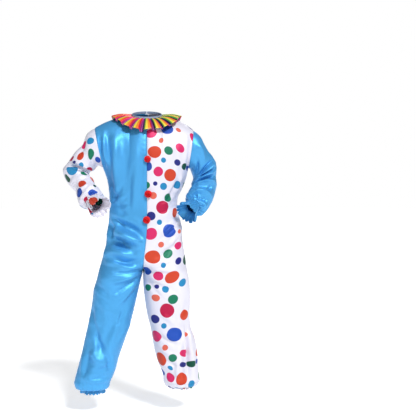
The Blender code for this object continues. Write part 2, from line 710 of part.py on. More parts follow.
def make_body():
    """The four body panels, each cut in one from shoulder to ankle."""
    halves = {side: half_body(side) for side in (RIGHT, LEFT)}
    sleeves = {side: sleeve_grid(side, SLEEVE_ROWS) for side in (RIGHT, LEFT)}
    names = {RIGHT: ("right", "blue_satin"), LEFT: ("left", "dotted_satin")}
    sleeve_cloth = {RIGHT: "dotted_satin", LEFT: "blue_satin"}
    surfaces, wrists = [], {}
    for side, (grid, normals, crotch_row) in halves.items():
        flatten_middle(normals, crotch_row + 1)
        first_yoke = len(grid) - 1 - YOKE_ROWS
        front = grid[:, : PANEL_COLUMNS + 1].copy()
        front_normals = normals[:, : PANEL_COLUMNS + 1].copy()
        back = grid[:, PANEL_COLUMNS:].copy()
        back_normals = normals[:, PANEL_COLUMNS:].copy()
        split_armhole(side, front, back, front_normals, back_normals, first_yoke)
        share_edges(sleeves[side], front_normals, back_normals, first_yoke)
        back = open_for_zip(back, len(back))
        edges = ["first_column", "last_column", "last_row"]
        word, cloth = names[side]
        for label, panel, panel_normals in (("front", front, front_normals), ("back", back, back_normals)):
            panel = pull_in(panel, edges, SEAM_GAP / 2)
            world = to_world(side, panel)
            cloth_wall(f"{label}_{word}", world, to_world(side, panel_normals), CLOTH, cloth)
            surfaces.append(world)
    for side, (grid, normals) in sleeves.items():
        word = names[side][0]
        grid = pull_in(grid, ["first_row"], SEAM_GAP)
        world = to_world(side, grid)
        cloth_wall(f"sleeve_{word}", world, to_world(side, normals), CLOTH, sleeve_cloth[side], closed=True)
        wrists[side] = world[-1]
    return surfaces, wrists


def split_armhole(side, front, back, front_normals, back_normals, first_yoke):
    """Above the armpit the front and back panels end on the armhole instead of meeting at the side."""
    share = np.linspace(0.0, 1.0, YOKE_ROWS + 1)
    front[first_yoke:, -1] = armhole_ring(side, math.pi - math.pi * share)
    back[first_yoke:, 0] = armhole_ring(side, math.pi + math.pi * share)
    for panel, panel_normals, edge in ((front, front_normals, -1), (back, back_normals, 0)):
        fresh = grid_normals(panel)
        rows = slice(first_yoke + 1, len(panel) - 1)
        agree = np.sum(fresh[rows, INNER_COLUMN] * panel_normals[rows, INNER_COLUMN])
        panel_normals[rows, edge] = fresh[rows, edge] * (1.0 if agree > 0 else -1.0)


def share_edges(sleeve, front_normals, back_normals, first_yoke):
    """Gives each armhole point one normal, shared by the body panel and the sleeve."""
    ring = sleeve[1][0]
    count = 2 * YOKE_ROWS
    for step in range(YOKE_ROWS + 1):
        row = first_yoke + step
        places = {
            (YOKE_ROWS - step) % count: (front_normals, -1),
            (YOKE_ROWS + step) % count: (back_normals, 0),
        }
        shared = {}
        for column, (body_normals, edge) in places.items():
            shared[column] = unit(ring[column] + body_normals[row, edge])
        if step in (0, YOKE_ROWS):
            column = (YOKE_ROWS - step) % count
            both = unit(ring[column] + unit(front_normals[row, -1] + back_normals[row, 0]))
            front_normals[row, -1] = back_normals[row, 0] = ring[column] = both
            continue
        for column, (body_normals, edge) in places.items():
            ring[column] = body_normals[row, edge] = shared[column]


def flutes(count):
    """Places round one turn and the wave there, flat-topped: four columns to a flute."""
    steps = np.arange(4 * count + 1)
    return steps / (4 * count), np.where(steps // 2 % 2 == 0, 1.0, -1.0)


def frill(name, ring, end, edge_radius, material_name):
    """A gathered frill: snug inside the elastic's ring, waved and flared at its free edge.

    Two of its columns go to each of the ring's, so its snug rows follow the ring's sides exactly.
    """
    start = ring.mean(axis=0)
    count = 2 * len(ring)
    snug = np.empty((count, 3))
    snug[0::2] = ring - start
    snug[1::2] = (ring + np.roll(ring, -1, axis=0)) / 2 - start
    snug = snug - unit(snug) * (CLOTH / 2 + FRILL_SEAM_GAP + TRIM / 2)
    axis = unit(end - start)
    out, forward = ring[0] - start, ring[len(ring) // 4] - start
    edge_out = unit(out - axis * (out @ axis))
    edge_forward = unit(forward - axis * (forward @ axis) - edge_out * (forward @ edge_out))
    share, wave = flutes(count // 4)
    turn, wave = share[:-1, None] * 2 * math.pi, wave[:-1, None]
    edge = (edge_out * np.cos(turn) + edge_forward * np.sin(turn)) * edge_radius
    rows = []
    for along, flare, waviness in FRILL_STEPS:
        spoke = snug * (1 - flare) + edge * flare
        rows.append(start + (end - start) * along + spoke + unit(spoke) * wave * FRILL_WAVE_DEPTH * waviness)
    grid = np.stack(rows)
    normals = grid_normals(grid, closed=True)
    if np.sum(normals[1] * (grid[1] - start)) < 0:
        normals = -normals
    cloth_wall(name, grid, normals, TRIM, material_name, closed=True)


def make_frills(wrists):
    cloths = {RIGHT: ("blue_satin", "dotted_satin"), LEFT: ("dotted_satin", "blue_satin")}
    words = {RIGHT: "right", LEFT: "left"}
    for side in (RIGHT, LEFT):
        leg_cloth, sleeve_cloth = cloths[side]
        ankle = to_world(side, ankle_ring(side, 2 * PANEL_COLUMNS))
        end = ankle.mean(axis=0) - np.array([0.0, 0.0, ANKLE_FRILL_DROP[side]])
        frill(f"ankle_frill_{words[side]}", ankle, end, ANKLE_FRILL_RADIUS, leg_cloth)
        out, y, height, edge_radius = WRIST_FRILL[side]
        end = np.array([side * out, y, height])
        frill(f"wrist_frill_{words[side]}", wrists[side], end, edge_radius, sleeve_cloth)


def surface_tree(surfaces):
    """One searchable surface of all the body panels."""
    points, faces = [], []
    for grid in surfaces:
        rows, columns = grid.shape[:2]
        first = len(points)
        points.extend(Vector(p) for p in grid.reshape(-1, 3))
        for row in range(rows - 1):
            for column in range(columns - 1):
                a = first + row * columns + column
                faces.append((a, a + 1, a + columns + 1, a + columns))
    return BVHTree.FromPolygons(points, faces)


def collar_edge(angle):
    """The collar's free edge before its flutes."""
    sine, cosine = np.sin(angle), np.cos(angle)
    reach = np.where(cosine > 0, COLLAR_FRONT, COLLAR_BACK)
    drop = np.where(cosine > 0, COLLAR_FRONT_Z, COLLAR_BACK_Z)
    height = COLLAR_SIDE_Z * sine**2 + drop * cosine**2
    return np.stack([COLLAR_HALF_WIDTH * sine, NECK_Y - reach * cosine, height], axis=-1)


def make_collar(tree):
    """The fluted collar, an open ring whose ends part at the zip, held just clear of the body."""
    share, wave = flutes(COLLAR_FLUTES)
    angle = math.pi + BACK_SPLIT_ANGLE + share * 2 * (math.pi - BACK_SPLIT_ANGLE)
    inner = neck_ring(angle)
    outward = inner * np.array([1.0, 1.0, 0.0]) - np.array([0.0, NECK_Y, 0.0])
    inner = inner + unit(outward) * COLLAR_SET_OUT + np.array([0.0, 0.0, COLLAR_SET_UP])
    edge = collar_edge(angle)
    rows = []
    for step in COLLAR_STEPS:
        bow = math.sin(math.pi * step) * COLLAR_BOW
        rows.append(inner + (edge - inner) * step + np.array([0.0, 0.0, bow]))
    base = np.stack(rows)
    normals = grid_normals(base)
    if normals[..., 2].mean() < 0:
        normals = -normals
    depth = COLLAR_FLUTE_DEPTH * (COLLAR_ROOT_WAVE + (1 - COLLAR_ROOT_WAVE) * np.array(COLLAR_STEPS)[:, None])
    grid = base + normals * (wave[None] * depth)[..., None]
    for index in np.ndindex(grid.shape[:2]):
        if index[0]:
            grid[index] = lifted(tree, grid[index], COLLAR_CLEARANCE)
    waved = grid_normals(grid)
    if waved[..., 2].mean() < 0:
        waved = -waved
    cloth_wall("collar_ruffle", grid, waved, TRIM, "rainbow_stripe")


def lifted(tree, point, clearance):
    """The point, moved out along the cloth's normal if it is closer to the cloth than the clearance."""
    place, normal, _, _ = tree.find_nearest(Vector(point))
    outward = Vector((place.x, place.y - NECK_Y, COLLAR_LIFT_SLOPE))
    if normal.dot(outward) < 0:
        normal = -normal
    height = (Vector(point) - place).dot(normal)
    if height >= clearance:
        return point
    return np.array(Vector(point) + normal * (clearance - height))


def make_neck_band():
    """The binding that stands on the neck seam, open at the zip."""
    angle = np.linspace(math.pi + BAND_SPLIT_ANGLE, 3 * math.pi - BAND_SPLIT_ANGLE, BAND_SEGMENTS + 1)
    base = neck_ring(angle)
    outward = unit(base * np.array([1.0, 1.0, 0.0]) - np.array([0.0, NECK_Y, 0.0]))
    rows = []
    for height, lean in ((BAND_BASE, 0.0), (BAND_HEIGHT, BAND_LEAN)):
        rows.append(base + outward * lean + np.array([0.0, 0.0, height]))
    grid = np.stack(rows)
    cloth_wall("neck_band", grid, np.stack([outward, outward]), CLOTH, "grey_binding")


def make_pompom(number, out, height, radius, tree):
    """A yarn pompom: locks standing on a round core, with a flat seat against the front seam."""
    seats = []
    for dx in (-0.5, 0.0, 0.5):
        for dz in (-0.5, 0.0, 0.5):
            start = Vector((out + dx * radius, POMPOM_RAY_Y, height + dz * radius))
            place, _, _, _ = tree.ray_cast(start, Vector((0.0, 1.0, 0.0)))
            seats.append(place.y)
    seat_y = min(seats) - CLOTH / 2 - POMPOM_SEAT_GAP
    core = radius * POMPOM_CORE
    work = bmesh.new()
    bmesh.ops.create_icosphere(work, subdivisions=2, radius=core)
    locks = [face for face in work.faces if face.calc_center_median().y < core * POMPOM_LOCK_LIMIT]
    bmesh.ops.poke(work, faces=locks, offset=radius - core)
    seat = core * POMPOM_SEAT
    bmesh.ops.bisect_plane(
        work,
        geom=work.verts[:] + work.edges[:] + work.faces[:],
        plane_co=(0.0, seat, 0.0),
        plane_no=(0.0, 1.0, 0.0),
        clear_outer=True,
    )
    bmesh.ops.holes_fill(work, edges=[edge for edge in work.edges if edge.is_boundary])
    bmesh.ops.triangulate(work, faces=work.faces)
    bmesh.ops.recalc_face_normals(work, faces=work.faces)
    mesh = bpy.data.meshes.new(f"pompom_{number}")
    work.to_mesh(mesh)
    work.free()
    made = new_object(f"pompom_{number}", mesh, "red_yarn", smooth=False)
    made.location = (out, seat_y - seat, height)


def back_middle(height):
    """The depth of the middle of the back at a height."""
    if height < ARMPIT_Z:
        table = np.array(BODY_DEPTHS)
        return float(flowing(height, table[:, 0], table[:, 2])[0, 0])
    top = float(neck_ring(math.pi)[2])
    profile = np.array(BACK_LINE)
    share = (height - ARMPIT_Z) / (top - ARMPIT_Z)
    return float(flowing(share, profile[:, 0], profile[:, 1])[0, 0])


def make_zip(back_right, back_left):
    """The zip's tape and teeth as one strip that fills the opening between the back panels."""
    right_edge, left_edge = back_right[:, -1], back_left[:, -1]
    top = float(left_edge[-1, 2]) - TAPE_TOP_GAP
    heights = left_edge[:, 2]
    beside = heights[heights > ZIP_BOTTOM_Z + TAPE_FOLLOW][:-1]
    heights = np.concatenate([[ZIP_BOTTOM_Z + TAPE_START], beside, [top]])
    grid = []
    for height in heights:
        ends = [
            np.array([np.interp(height, edge[:, 2], edge[:, axis]) for axis in range(3)])
            for edge in (right_edge, left_edge)
        ]
        inward = unit(ends[1] - ends[0]) * SEAM_GAP
        grid.append([ends[0] + inward, (ends[0] + ends[1]) / 2, ends[1] - inward])
    grid = np.array(grid)
    normals = grid_normals(grid)
    if normals[..., 1].mean() < 0:
        normals = -normals
    cloth_wall("zip_tape", grid, normals, CLOTH, "zip_tape")
    return top


def block(work, size, centre):
    """Adds a box to a mesh under construction, by its size and centre."""
    made = bmesh.ops.create_cube(work, size=1.0)
    bmesh.ops.scale(work, verts=made["verts"], vec=size)
    bmesh.ops.translate(work, verts=made["verts"], vec=centre)


def joined(name, boxes, material_name):
    """One solid from overlapping boxes, each a size and a centre."""
    made = None
    for size, centre in boxes:
        work = bmesh.new()
        block(work, size, centre)
        mesh = bpy.data.meshes.new(name)
        work.to_mesh(mesh)
        work.free()
        piece = bpy.data.objects.new(name + "_box", mesh)
        if made is None:
            made = new_object(name, mesh, material_name, smooth=False)
            bpy.data.objects.remove(piece)
            continue
        cutters.objects.link(piece)
        piece.hide_render = True
        piece.display_type = "WIRE"
        union = made.modifiers.new("join", "BOOLEAN")
        union.operation = "UNION"
        union.object = piece
    return made


def make_slider(zip_top):
    """The slider at the top of the zip and its pull tab, which hangs from a rod under the slider's bridge."""
    height = zip_top - SLIDER_DROP
    slope = (back_middle(height + SLOPE_STEP) - back_middle(height - SLOPE_STEP)) / (2 * SLOPE_STEP)
    lean = -math.atan(slope)
    width, thick, length = SLIDER
    base = CLOTH / 2 + SLIDER_GAP
    bar_inner = base + thick + BRIDGE_HOLE
    bar_middle = bar_inner + BRIDGE_BAR / 2
    post_z = BRIDGE_LENGTH / 2 - BRIDGE_BAR / 2
    post_depth = BRIDGE_HOLE + BRIDGE_BAR + POST_SINK
    post_middle = bar_inner + BRIDGE_BAR - post_depth / 2
    slider = joined(
        "zip_slider",
        [
            ((width, thick, length), (0.0, base + thick / 2, 0.0)),
            ((BRIDGE_WIDTH, BRIDGE_BAR, BRIDGE_LENGTH), (0.0, bar_middle, 0.0)),
            ((BRIDGE_WIDTH * POST_INSET, post_depth, BRIDGE_BAR), (0.0, post_middle, post_z)),
            ((BRIDGE_WIDTH * POST_INSET, post_depth, BRIDGE_BAR), (0.0, post_middle, -post_z)),
        ],
        "zip_metal",
    )
    rod_y = bar_inner - PULL_GAP - PULL_ROD
    rod_z = -post_z + BRIDGE_BAR / 2 + PULL_GAP + PULL_ROD
    arm_x = PULL_HALF_SPREAD
    arm = (PULL_THICKNESS, PULL_THICKNESS, PULL_LOOP)
    plate_length = PULL_LENGTH - PULL_LOOP
    pull = joined(
        "zip_pull",
        [
            ((2 * arm_x, 2 * PULL_ROD, 2 * PULL_ROD), (0.0, 0.0, 0.0)),
            (arm, (-arm_x, 0.0, -PULL_LOOP / 2 + PULL_ROD)),
            (arm, (arm_x, 0.0, -PULL_LOOP / 2 + PULL_ROD)),
            (
                (2 * arm_x + PLATE_MARGIN, PULL_THICKNESS * PLATE_INSET, plate_length),
                (0.0, 0.0, -PULL_LOOP - plate_length / 2 + 2 * PULL_ROD),
            ),
        ],
        "zip_metal",
    )
    anchor = bpy.data.objects.new("zip_place", None)
    garment.objects.link(anchor)
    anchor.location = (0.0, back_middle(height), height)
    anchor.rotation_euler = (lean, 0.0, 0.0)
    slider.parent = anchor
    pull.parent = anchor
    pull.location = (0.0, rod_y, rod_z)
    for cutter in cutters.objects:
        host = slider if cutter.name.startswith("zip_slider") else pull
        cutter.parent = host


for old in list(bpy.data.objects):
    bpy.data.objects.remove(old)
garment = bpy.data.collections.new("clown_jumpsuit")
bpy.context.scene.collection.children.link(garment)
cutters = bpy.data.collections.new("cutters")
bpy.context.scene.collection.children.link(cutters)

panels, wrist_rings = make_body()
body_tree = surface_tree(panels)
make_frills(wrist_rings)
make_neck_band()
make_collar(body_tree)
for index, (pom_out, pom_z, pom_radius) in enumerate(POMPOMS, start=1):
    make_pompom(index, pom_out, pom_z, pom_radius, body_tree)
make_slider(make_zip(panels[1], panels[3]))
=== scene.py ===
"""The looks of the clown costume jumpsuit: satin with its creases, print and gathers, yarn, sewing.

Metres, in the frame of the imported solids: +Z up, the front faces -Y, +X to the wearer's left.
"Outward" is the distance from the middle plane, so one set of functions makes both halves. The
section tables are those of the solids. The creases that follow them are finer.
"""

import math

import bmesh
import bpy
import numpy as np
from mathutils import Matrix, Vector
from mathutils.bvhtree import BVHTree


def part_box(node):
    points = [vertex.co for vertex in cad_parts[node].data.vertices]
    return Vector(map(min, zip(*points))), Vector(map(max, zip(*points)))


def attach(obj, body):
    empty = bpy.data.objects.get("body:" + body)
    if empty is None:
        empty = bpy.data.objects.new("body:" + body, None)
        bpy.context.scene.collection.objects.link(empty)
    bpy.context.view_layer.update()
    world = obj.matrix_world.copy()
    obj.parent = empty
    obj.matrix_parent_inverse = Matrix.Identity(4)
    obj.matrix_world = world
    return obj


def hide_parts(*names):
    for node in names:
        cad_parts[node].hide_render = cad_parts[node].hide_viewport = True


RIGHT, LEFT = -1, 1
WORDS = {RIGHT: "right", LEFT: "left"}
BODY_CLOTH = {RIGHT: "blue", LEFT: "dots"}
SLEEVE_CLOTH = {RIGHT: "sleeve_dots", LEFT: "blue"}

# Thickness of each cloth
CLOTH = 0.0007
FRILL_CLOTH = 0.0006
BAND_CLOTH = 0.0005
TAPE_CLOTH = 0.0008
# Seams: depth and width of the dip, the underarm's share of it, and the puckers on both sides: depth,
# distance, width, and turn for each row in radians
SEAM_DIP = 0.0022
SEAM_DIP_WIDTH = 0.006
UNDERARM_DIP = 0.6
PUCKER = 0.0007
PUCKER_FROM_SEAM = 0.012
PUCKER_WIDTH = 0.008
PUCKER_TURNS = (1.9, 0.61)

# Grid sizes. Each is a multiple of the solids' grid
FINE = 5
ACROSS_FINE = 7
PANEL_COLUMNS = 9 * ACROSS_FINE
NECK_COLUMNS = 3 * ACROSS_FINE
LEG_ROWS = 15 * FINE
RISE_ROWS = 5 * FINE
TORSO_ROWS = 11 * FINE
YOKE_ROWS = 10 * FINE
BLOUSE_ROWS = 26
SLEEVE_ROWS = 150
SECTION_POINTS = 241
# Rows above the crotch from where the body's sides face outwards
ABOVE_CROTCH = 30

# Heights of the body's main levels
HEM_Z = -1.345
CROTCH_Z = -0.777
RISE_Z = -0.675
ARMPIT_Z = -0.256

# Widths of each half of the body, from the hem up to the armpit: height, outward edge, inseam edge
BODY_WIDTHS = {
    RIGHT: (
        (-1.357, 0.376, 0.196),
        (-1.285, 0.357, 0.164),
        (-1.214, 0.338, 0.144),
        (-1.122, 0.317, 0.112),
        (-1.015, 0.293, 0.078),
        (-0.923, 0.277, 0.056),
        (-0.862, 0.269, 0.042),
        (-0.826, 0.257, 0.034),
        (-0.777, 0.245, 0.021),
        (-0.699, 0.223, 0.015),
        (-0.643, 0.209, 0.006),
        (-0.576, 0.203, 0.003),
        (-0.530, 0.195, 0.000),
        (-0.469, 0.190, 0.000),
        (-0.408, 0.189, 0.000),
        (-0.352, 0.194, 0.000),
        (-0.301, 0.205, 0.000),
        (-0.256, 0.222, 0.000),
    ),
    LEFT: (
        (-1.357, 0.270, 0.082),
        (-1.304, 0.263, 0.078),
        (-1.239, 0.259, 0.052),
        (-1.170, 0.252, 0.034),
        (-1.122, 0.241, 0.026),
        (-1.065, 0.221, 0.016),
        (-1.015, 0.217, 0.003),
        (-0.952, 0.218, -0.008),
        (-0.875, 0.218, -0.017),
        (-0.826, 0.213, -0.020),
        (-0.777, 0.204, -0.021),
        (-0.699, 0.192, -0.015),
        (-0.622, 0.180, -0.005),
        (-0.546, 0.175, 0.000),
        (-0.500, 0.164, 0.000),
        (-0.440, 0.154, 0.000),
        (-0.400, 0.158, 0.000),
        (-0.364, 0.177, 0.000),
        (-0.301, 0.200, 0.000),
        (-0.256, 0.210, 0.000),
    ),
}
# Depth of the body in front of and behind its middle: height, front, back
BODY_DEPTHS = (
    (-1.357, 0.088, 0.090),
    (-1.285, 0.092, 0.096),
    (-1.214, 0.095, 0.100),
    (-1.122, 0.099, 0.102),
    (-1.015, 0.104, 0.104),
    (-0.923, 0.110, 0.114),
    (-0.862, 0.114, 0.122),
    (-0.777, 0.121, 0.133),
    (-0.699, 0.126, 0.138),
    (-0.643, 0.128, 0.136),
    (-0.576, 0.130, 0.126),
    (-0.530, 0.129, 0.116),
    (-0.469, 0.127, 0.106),
    (-0.408, 0.126, 0.102),
    (-0.352, 0.127, 0.106),
    (-0.301, 0.128, 0.112),
    (-0.256, 0.127, 0.116),
)
# The middle seam from the crotch up, where it pulls to the wearer's right: height, X
MIDDLE_LINE = (
    (-0.777, -0.021),
    (-0.699, -0.015),
    (-0.643, -0.008),
    (-0.576, -0.002),
    (-0.550, 0.0),
    (-0.530, 0.0),
    (-0.256, 0.0),
)
SECTION_SQUARENESS = 0.88

# The leg's cloth blouses over the ankle elastic: height above the elastic, share of the way in
BLOUSE = (
    (-0.010, 0.05),
    (-0.024, 0.17),
    (-0.031, 0.38),
    (-0.025, 0.62),
    (-0.010, 0.86),
    (0.0, 1.0),
)
ANKLE = {RIGHT: (0.279, 0.004, -1.346), LEFT: (0.170, 0.004, -1.336)}
ANKLE_RADIUS = 0.047
ANKLE_FRILL_DROP = {RIGHT: 0.054, LEFT: 0.044}
ANKLE_FRILL_RADIUS = 0.059

# Neck opening: half width, front to back half depth, its middle and its rise from front to back
NECK_HALF_WIDTH = 0.076
NECK_HALF_DEPTH = 0.066
NECK_Y = -0.004
NECK_Z = 0.005
NECK_RISE = 0.018

# Chest and back profile on the middle line above the armpit: share of the height, depth
CHEST_LINE = ((0.0, 0.127), (0.4, 0.119), (0.7, 0.103), (0.88, 0.087), (1.0, 0.070))
BACK_LINE = ((0.0, 0.116), (0.4, 0.127), (0.7, 0.118), (0.88, 0.095), (1.0, 0.062))

# Sections along each sleeve, shoulder to wrist elastic: outer outward and height, inner outward and
# height, middle Y, half depth
SLEEVE_SECTIONS = {
    RIGHT: (
        (0.264, -0.054, 0.222, -0.256, 0.000, 0.075),
        (0.300, -0.082, 0.243, -0.243, 0.004, 0.072),
        (0.322, -0.134, 0.256, -0.251, 0.010, 0.068),
        (0.358, -0.170, 0.270, -0.268, 0.016, 0.065),
        (0.398, -0.222, 0.284, -0.273, 0.022, 0.063),
        (0.424, -0.264, 0.292, -0.284, 0.022, 0.060),
        (0.411, -0.312, 0.288, -0.299, 0.010, 0.059),
        (0.386, -0.347, 0.270, -0.316, -0.008, 0.060),
        (0.359, -0.374, 0.258, -0.346, -0.034, 0.058),
        (0.346, -0.410, 0.240, -0.364, -0.056, 0.058),
        (0.328, -0.442, 0.223, -0.380, -0.076, 0.056),
        (0.306, -0.454, 0.219, -0.391, -0.090, 0.050),
        (0.292, -0.456, 0.228, -0.397, -0.114, 0.043),
    ),
    LEFT: (
        (0.238, -0.065, 0.210, -0.256, 0.000, 0.075),
        (0.266, -0.090, 0.223, -0.261, 0.001, 0.074),
        (0.284, -0.124, 0.229, -0.276, 0.010, 0.071),
        (0.312, -0.168, 0.236, -0.296, 0.018, 0.068),
        (0.344, -0.206, 0.236, -0.314, 0.024, 0.067),
        (0.354, -0.248, 0.227, -0.334, 0.026, 0.067),
        (0.355, -0.298, 0.226, -0.355, 0.020, 0.067),
        (0.352, -0.344, 0.217, -0.374, 0.008, 0.067),
        (0.345, -0.384, 0.203, -0.391, -0.012, 0.066),
        (0.326, -0.422, 0.196, -0.405, -0.040, 0.063),
        (0.310, -0.454, 0.198, -0.415, -0.062, 0.058),
        (0.284, -0.481, 0.201, -0.425, -0.084, 0.050),
        (0.257, -0.470, 0.205, -0.424, -0.100, 0.036),
    ),
}
# Shares of a sleeve's length: the stretch that its heading is read over, where it turns with the arm,
# and where its folds fade at the armhole and at the wrist
SLEEVE_HEADING = 0.32
SLEEVE_TURN = 0.12
SLEEVE_FOLD_ENDS = (0.12, 0.08)
# Wrist frills: outward, Y and height of the free edge's middle, radius at the edge
WRIST_FRILL = {
    RIGHT: (0.227, -0.150, -0.452, 0.056),
    LEFT: (0.195, -0.139, -0.479, 0.056),
}
WRIST_WAVES = 10
ANKLE_WAVES = 9
ANKLE_RING_POINTS = 144
FRILL_ROWS = 22
FRILL_INSET = 0.0012
FRILL_OVERLAP = 0.01
# Flare: how early the cloth reaches its free edge's width, and how far it swells past it
FRILL_FLARE = (0.9, 1.02)
FRILL_WAVE_DEPTH = 0.0065
FRILL_WAVE_FLATNESS = 0.7
FRILL_ROOT_WAVE = 0.10
FRILL_VARIETY = (0.75, 0.35)
# How the waves wander: times round the frill, radians
FRILL_WANDER = ((3, 0.16), (5, 0.10))
FRILL_TIGHT_DEPTH = 0.0010
FRILL_CURL = 0.0035

# Collar: flutes, and the free edge's half width, front and back reach, and height at side, front
# and back
COLLAR_FLUTES = 20
COLLAR_HALF_WIDTH = 0.172
COLLAR_FRONT = 0.116
COLLAR_BACK = 0.138
COLLAR_SIDE_Z = -0.003
COLLAR_FRONT_Z = -0.071
COLLAR_BACK_Z = -0.045
COLLAR_FLUTE_DEPTH = 0.0125
COLLAR_FLUTE_BREADTH = 2.4
COLLAR_FLUTE_GROWTH = 0.8
COLLAR_OVERHANG = 0.13
COLLAR_ROOT_WAVE = 0.12
# How the flutes' places, reach and depth wander: times round the collar, size, start in radians
FLUTE_WANDER = ((3, 0.006, 1.0), (7, 0.004, 0.0))
REACH_WANDER = ((5, 0.04, 0.7), (11, 0.03, 0.0))
DEPTH_WANDER = ((4, 0.20, 2.0),)
MEAN_DEPTH = 0.90
COLLAR_CLEARANCE = 0.0020
SMOOTHED_CLEARANCE = 0.7 * COLLAR_CLEARANCE
CLEARANCE_RISE = 0.12
COLLAR_SET_OUT = 0.0014
COLLAR_SET_UP = 0.0048
COLLAR_BOW = 0.008
COLLAR_ROWS = 30
COLLAR_SMOOTHING = 12
# Share of the rainbow's run at a flute's crest. It puts the navy and purple stripes in the valleys: real
# print colours placed as painted shade.
STRIPE_AT_CREST = 0.36
FLUTE_COLUMNS = 28
# Binding: each face's share of the way over, its half thickness and its wobble
BAND_ROWS = 16
BAND_COLUMNS = 240
BAND_HEIGHT = 0.0135
BAND_BASE = 0.0010
BAND_FACE = 0.42
BAND_HALF = 0.0010
BAND_WOBBLE = (34, 0.00025)
BAND_LEAN = -0.0015
BACK_SPLIT_ANGLE = 0.10
BAND_SPLIT_ANGLE = 0.016

# Largest folds of the body, as in the solids, by side and 1 front or -1 back: start outward and
# height, end outward and height, half width, depth outwards
BODY_FOLDS = {
    (RIGHT, 1): (
        (0.196, -0.100, 0.186, -0.330, 0.020, -0.010),
        (0.165, -0.120, 0.160, -0.360, 0.022, 0.006),
        (0.118, -0.130, 0.110, -0.420, 0.024, -0.005),
        (0.160, -0.400, 0.120, -0.480, 0.018, -0.007),
        (0.190, -0.560, 0.140, -0.620, 0.020, -0.012),
        (0.150, -0.572, 0.045, -0.628, 0.022, 0.010),
        (0.190, -0.640, 0.070, -0.680, 0.022, -0.009),
        (0.215, -0.685, 0.120, -0.700, 0.022, 0.007),
        (0.215, -0.740, 0.040, -0.745, 0.022, -0.009),
        (0.210, -0.810, 0.050, -0.790, 0.024, 0.008),
        (0.150, -0.865, 0.040, -0.800, 0.020, -0.009),
        (0.130, -0.960, 0.060, -0.880, 0.022, -0.007),
        (0.215, -1.200, 0.100, -1.050, 0.028, 0.010),
        (0.310, -1.270, 0.270, -1.060, 0.024, -0.008),
        (0.300, -1.300, 0.230, -1.240, 0.024, 0.009),
    ),
    (LEFT, 1): (
        (0.165, -0.330, 0.120, -0.420, 0.018, -0.008),
        (0.150, -0.500, 0.060, -0.530, 0.018, -0.007),
        (0.170, -0.560, 0.090, -0.580, 0.020, 0.008),
        (0.150, -0.660, 0.050, -0.690, 0.024, -0.007),
        (0.170, -0.780, 0.040, -0.760, 0.024, 0.006),
        (0.140, -0.870, 0.010, -0.820, 0.022, -0.008),
        (0.190, -1.030, 0.190, -1.130, 0.020, -0.009),
        (0.160, -1.120, 0.060, -1.080, 0.026, 0.007),
        (0.215, -1.170, 0.190, -1.290, 0.022, -0.008),
        (0.210, -1.310, 0.110, -1.290, 0.022, -0.007),
    ),
    (RIGHT, -1): (
        (0.150, -0.120, 0.130, -0.400, 0.024, -0.008),
        (0.080, -0.180, 0.070, -0.480, 0.024, 0.006),
        (0.180, -0.520, 0.060, -0.600, 0.024, -0.010),
        (0.190, -0.640, 0.050, -0.680, 0.026, 0.009),
        (0.200, -0.760, 0.050, -0.800, 0.024, -0.010),
        (0.230, -1.020, 0.120, -1.080, 0.026, -0.009),
        (0.290, -1.180, 0.200, -1.240, 0.026, 0.009),
    ),
    (LEFT, -1): (
        (0.140, -0.140, 0.130, -0.400, 0.024, -0.008),
        (0.140, -0.460, 0.060, -0.560, 0.022, -0.009),
        (0.150, -0.640, 0.050, -0.670, 0.026, 0.008),
        (0.180, -0.770, 0.030, -0.810, 0.024, -0.010),
        (0.180, -1.010, 0.060, -1.070, 0.026, -0.009),
        (0.220, -1.180, 0.110, -1.230, 0.026, 0.009),
    ),
}
# Distance from a seam over which the folds and the finer creases begin, the latter also below the
# shoulder, and the height of a row of the yoke
SEAM_CALM = 0.035
CREASE_CALM = 0.012
CREASE_CALM_TOP = 0.020
ROW_STEP = 0.005
# Depth from the side seam over which a fold and a crease begin
FOLD_TURN = 0.06
CREASE_TURN = 0.05
# Creases: scale of the table's depths and widths, share of the length that tapers in and out, share
# left at the ends, and the lesser opposite fold beside each: share of the depth, distance in widths
CREASE_DEPTH = 1.65
CREASE_WIDTH = 1.25
CREASE_TAPER = (0.3, 0.4)
CREASE_END = 0.15
VALLEY_DEPTH = 0.30
VALLEY_AT = 1.9

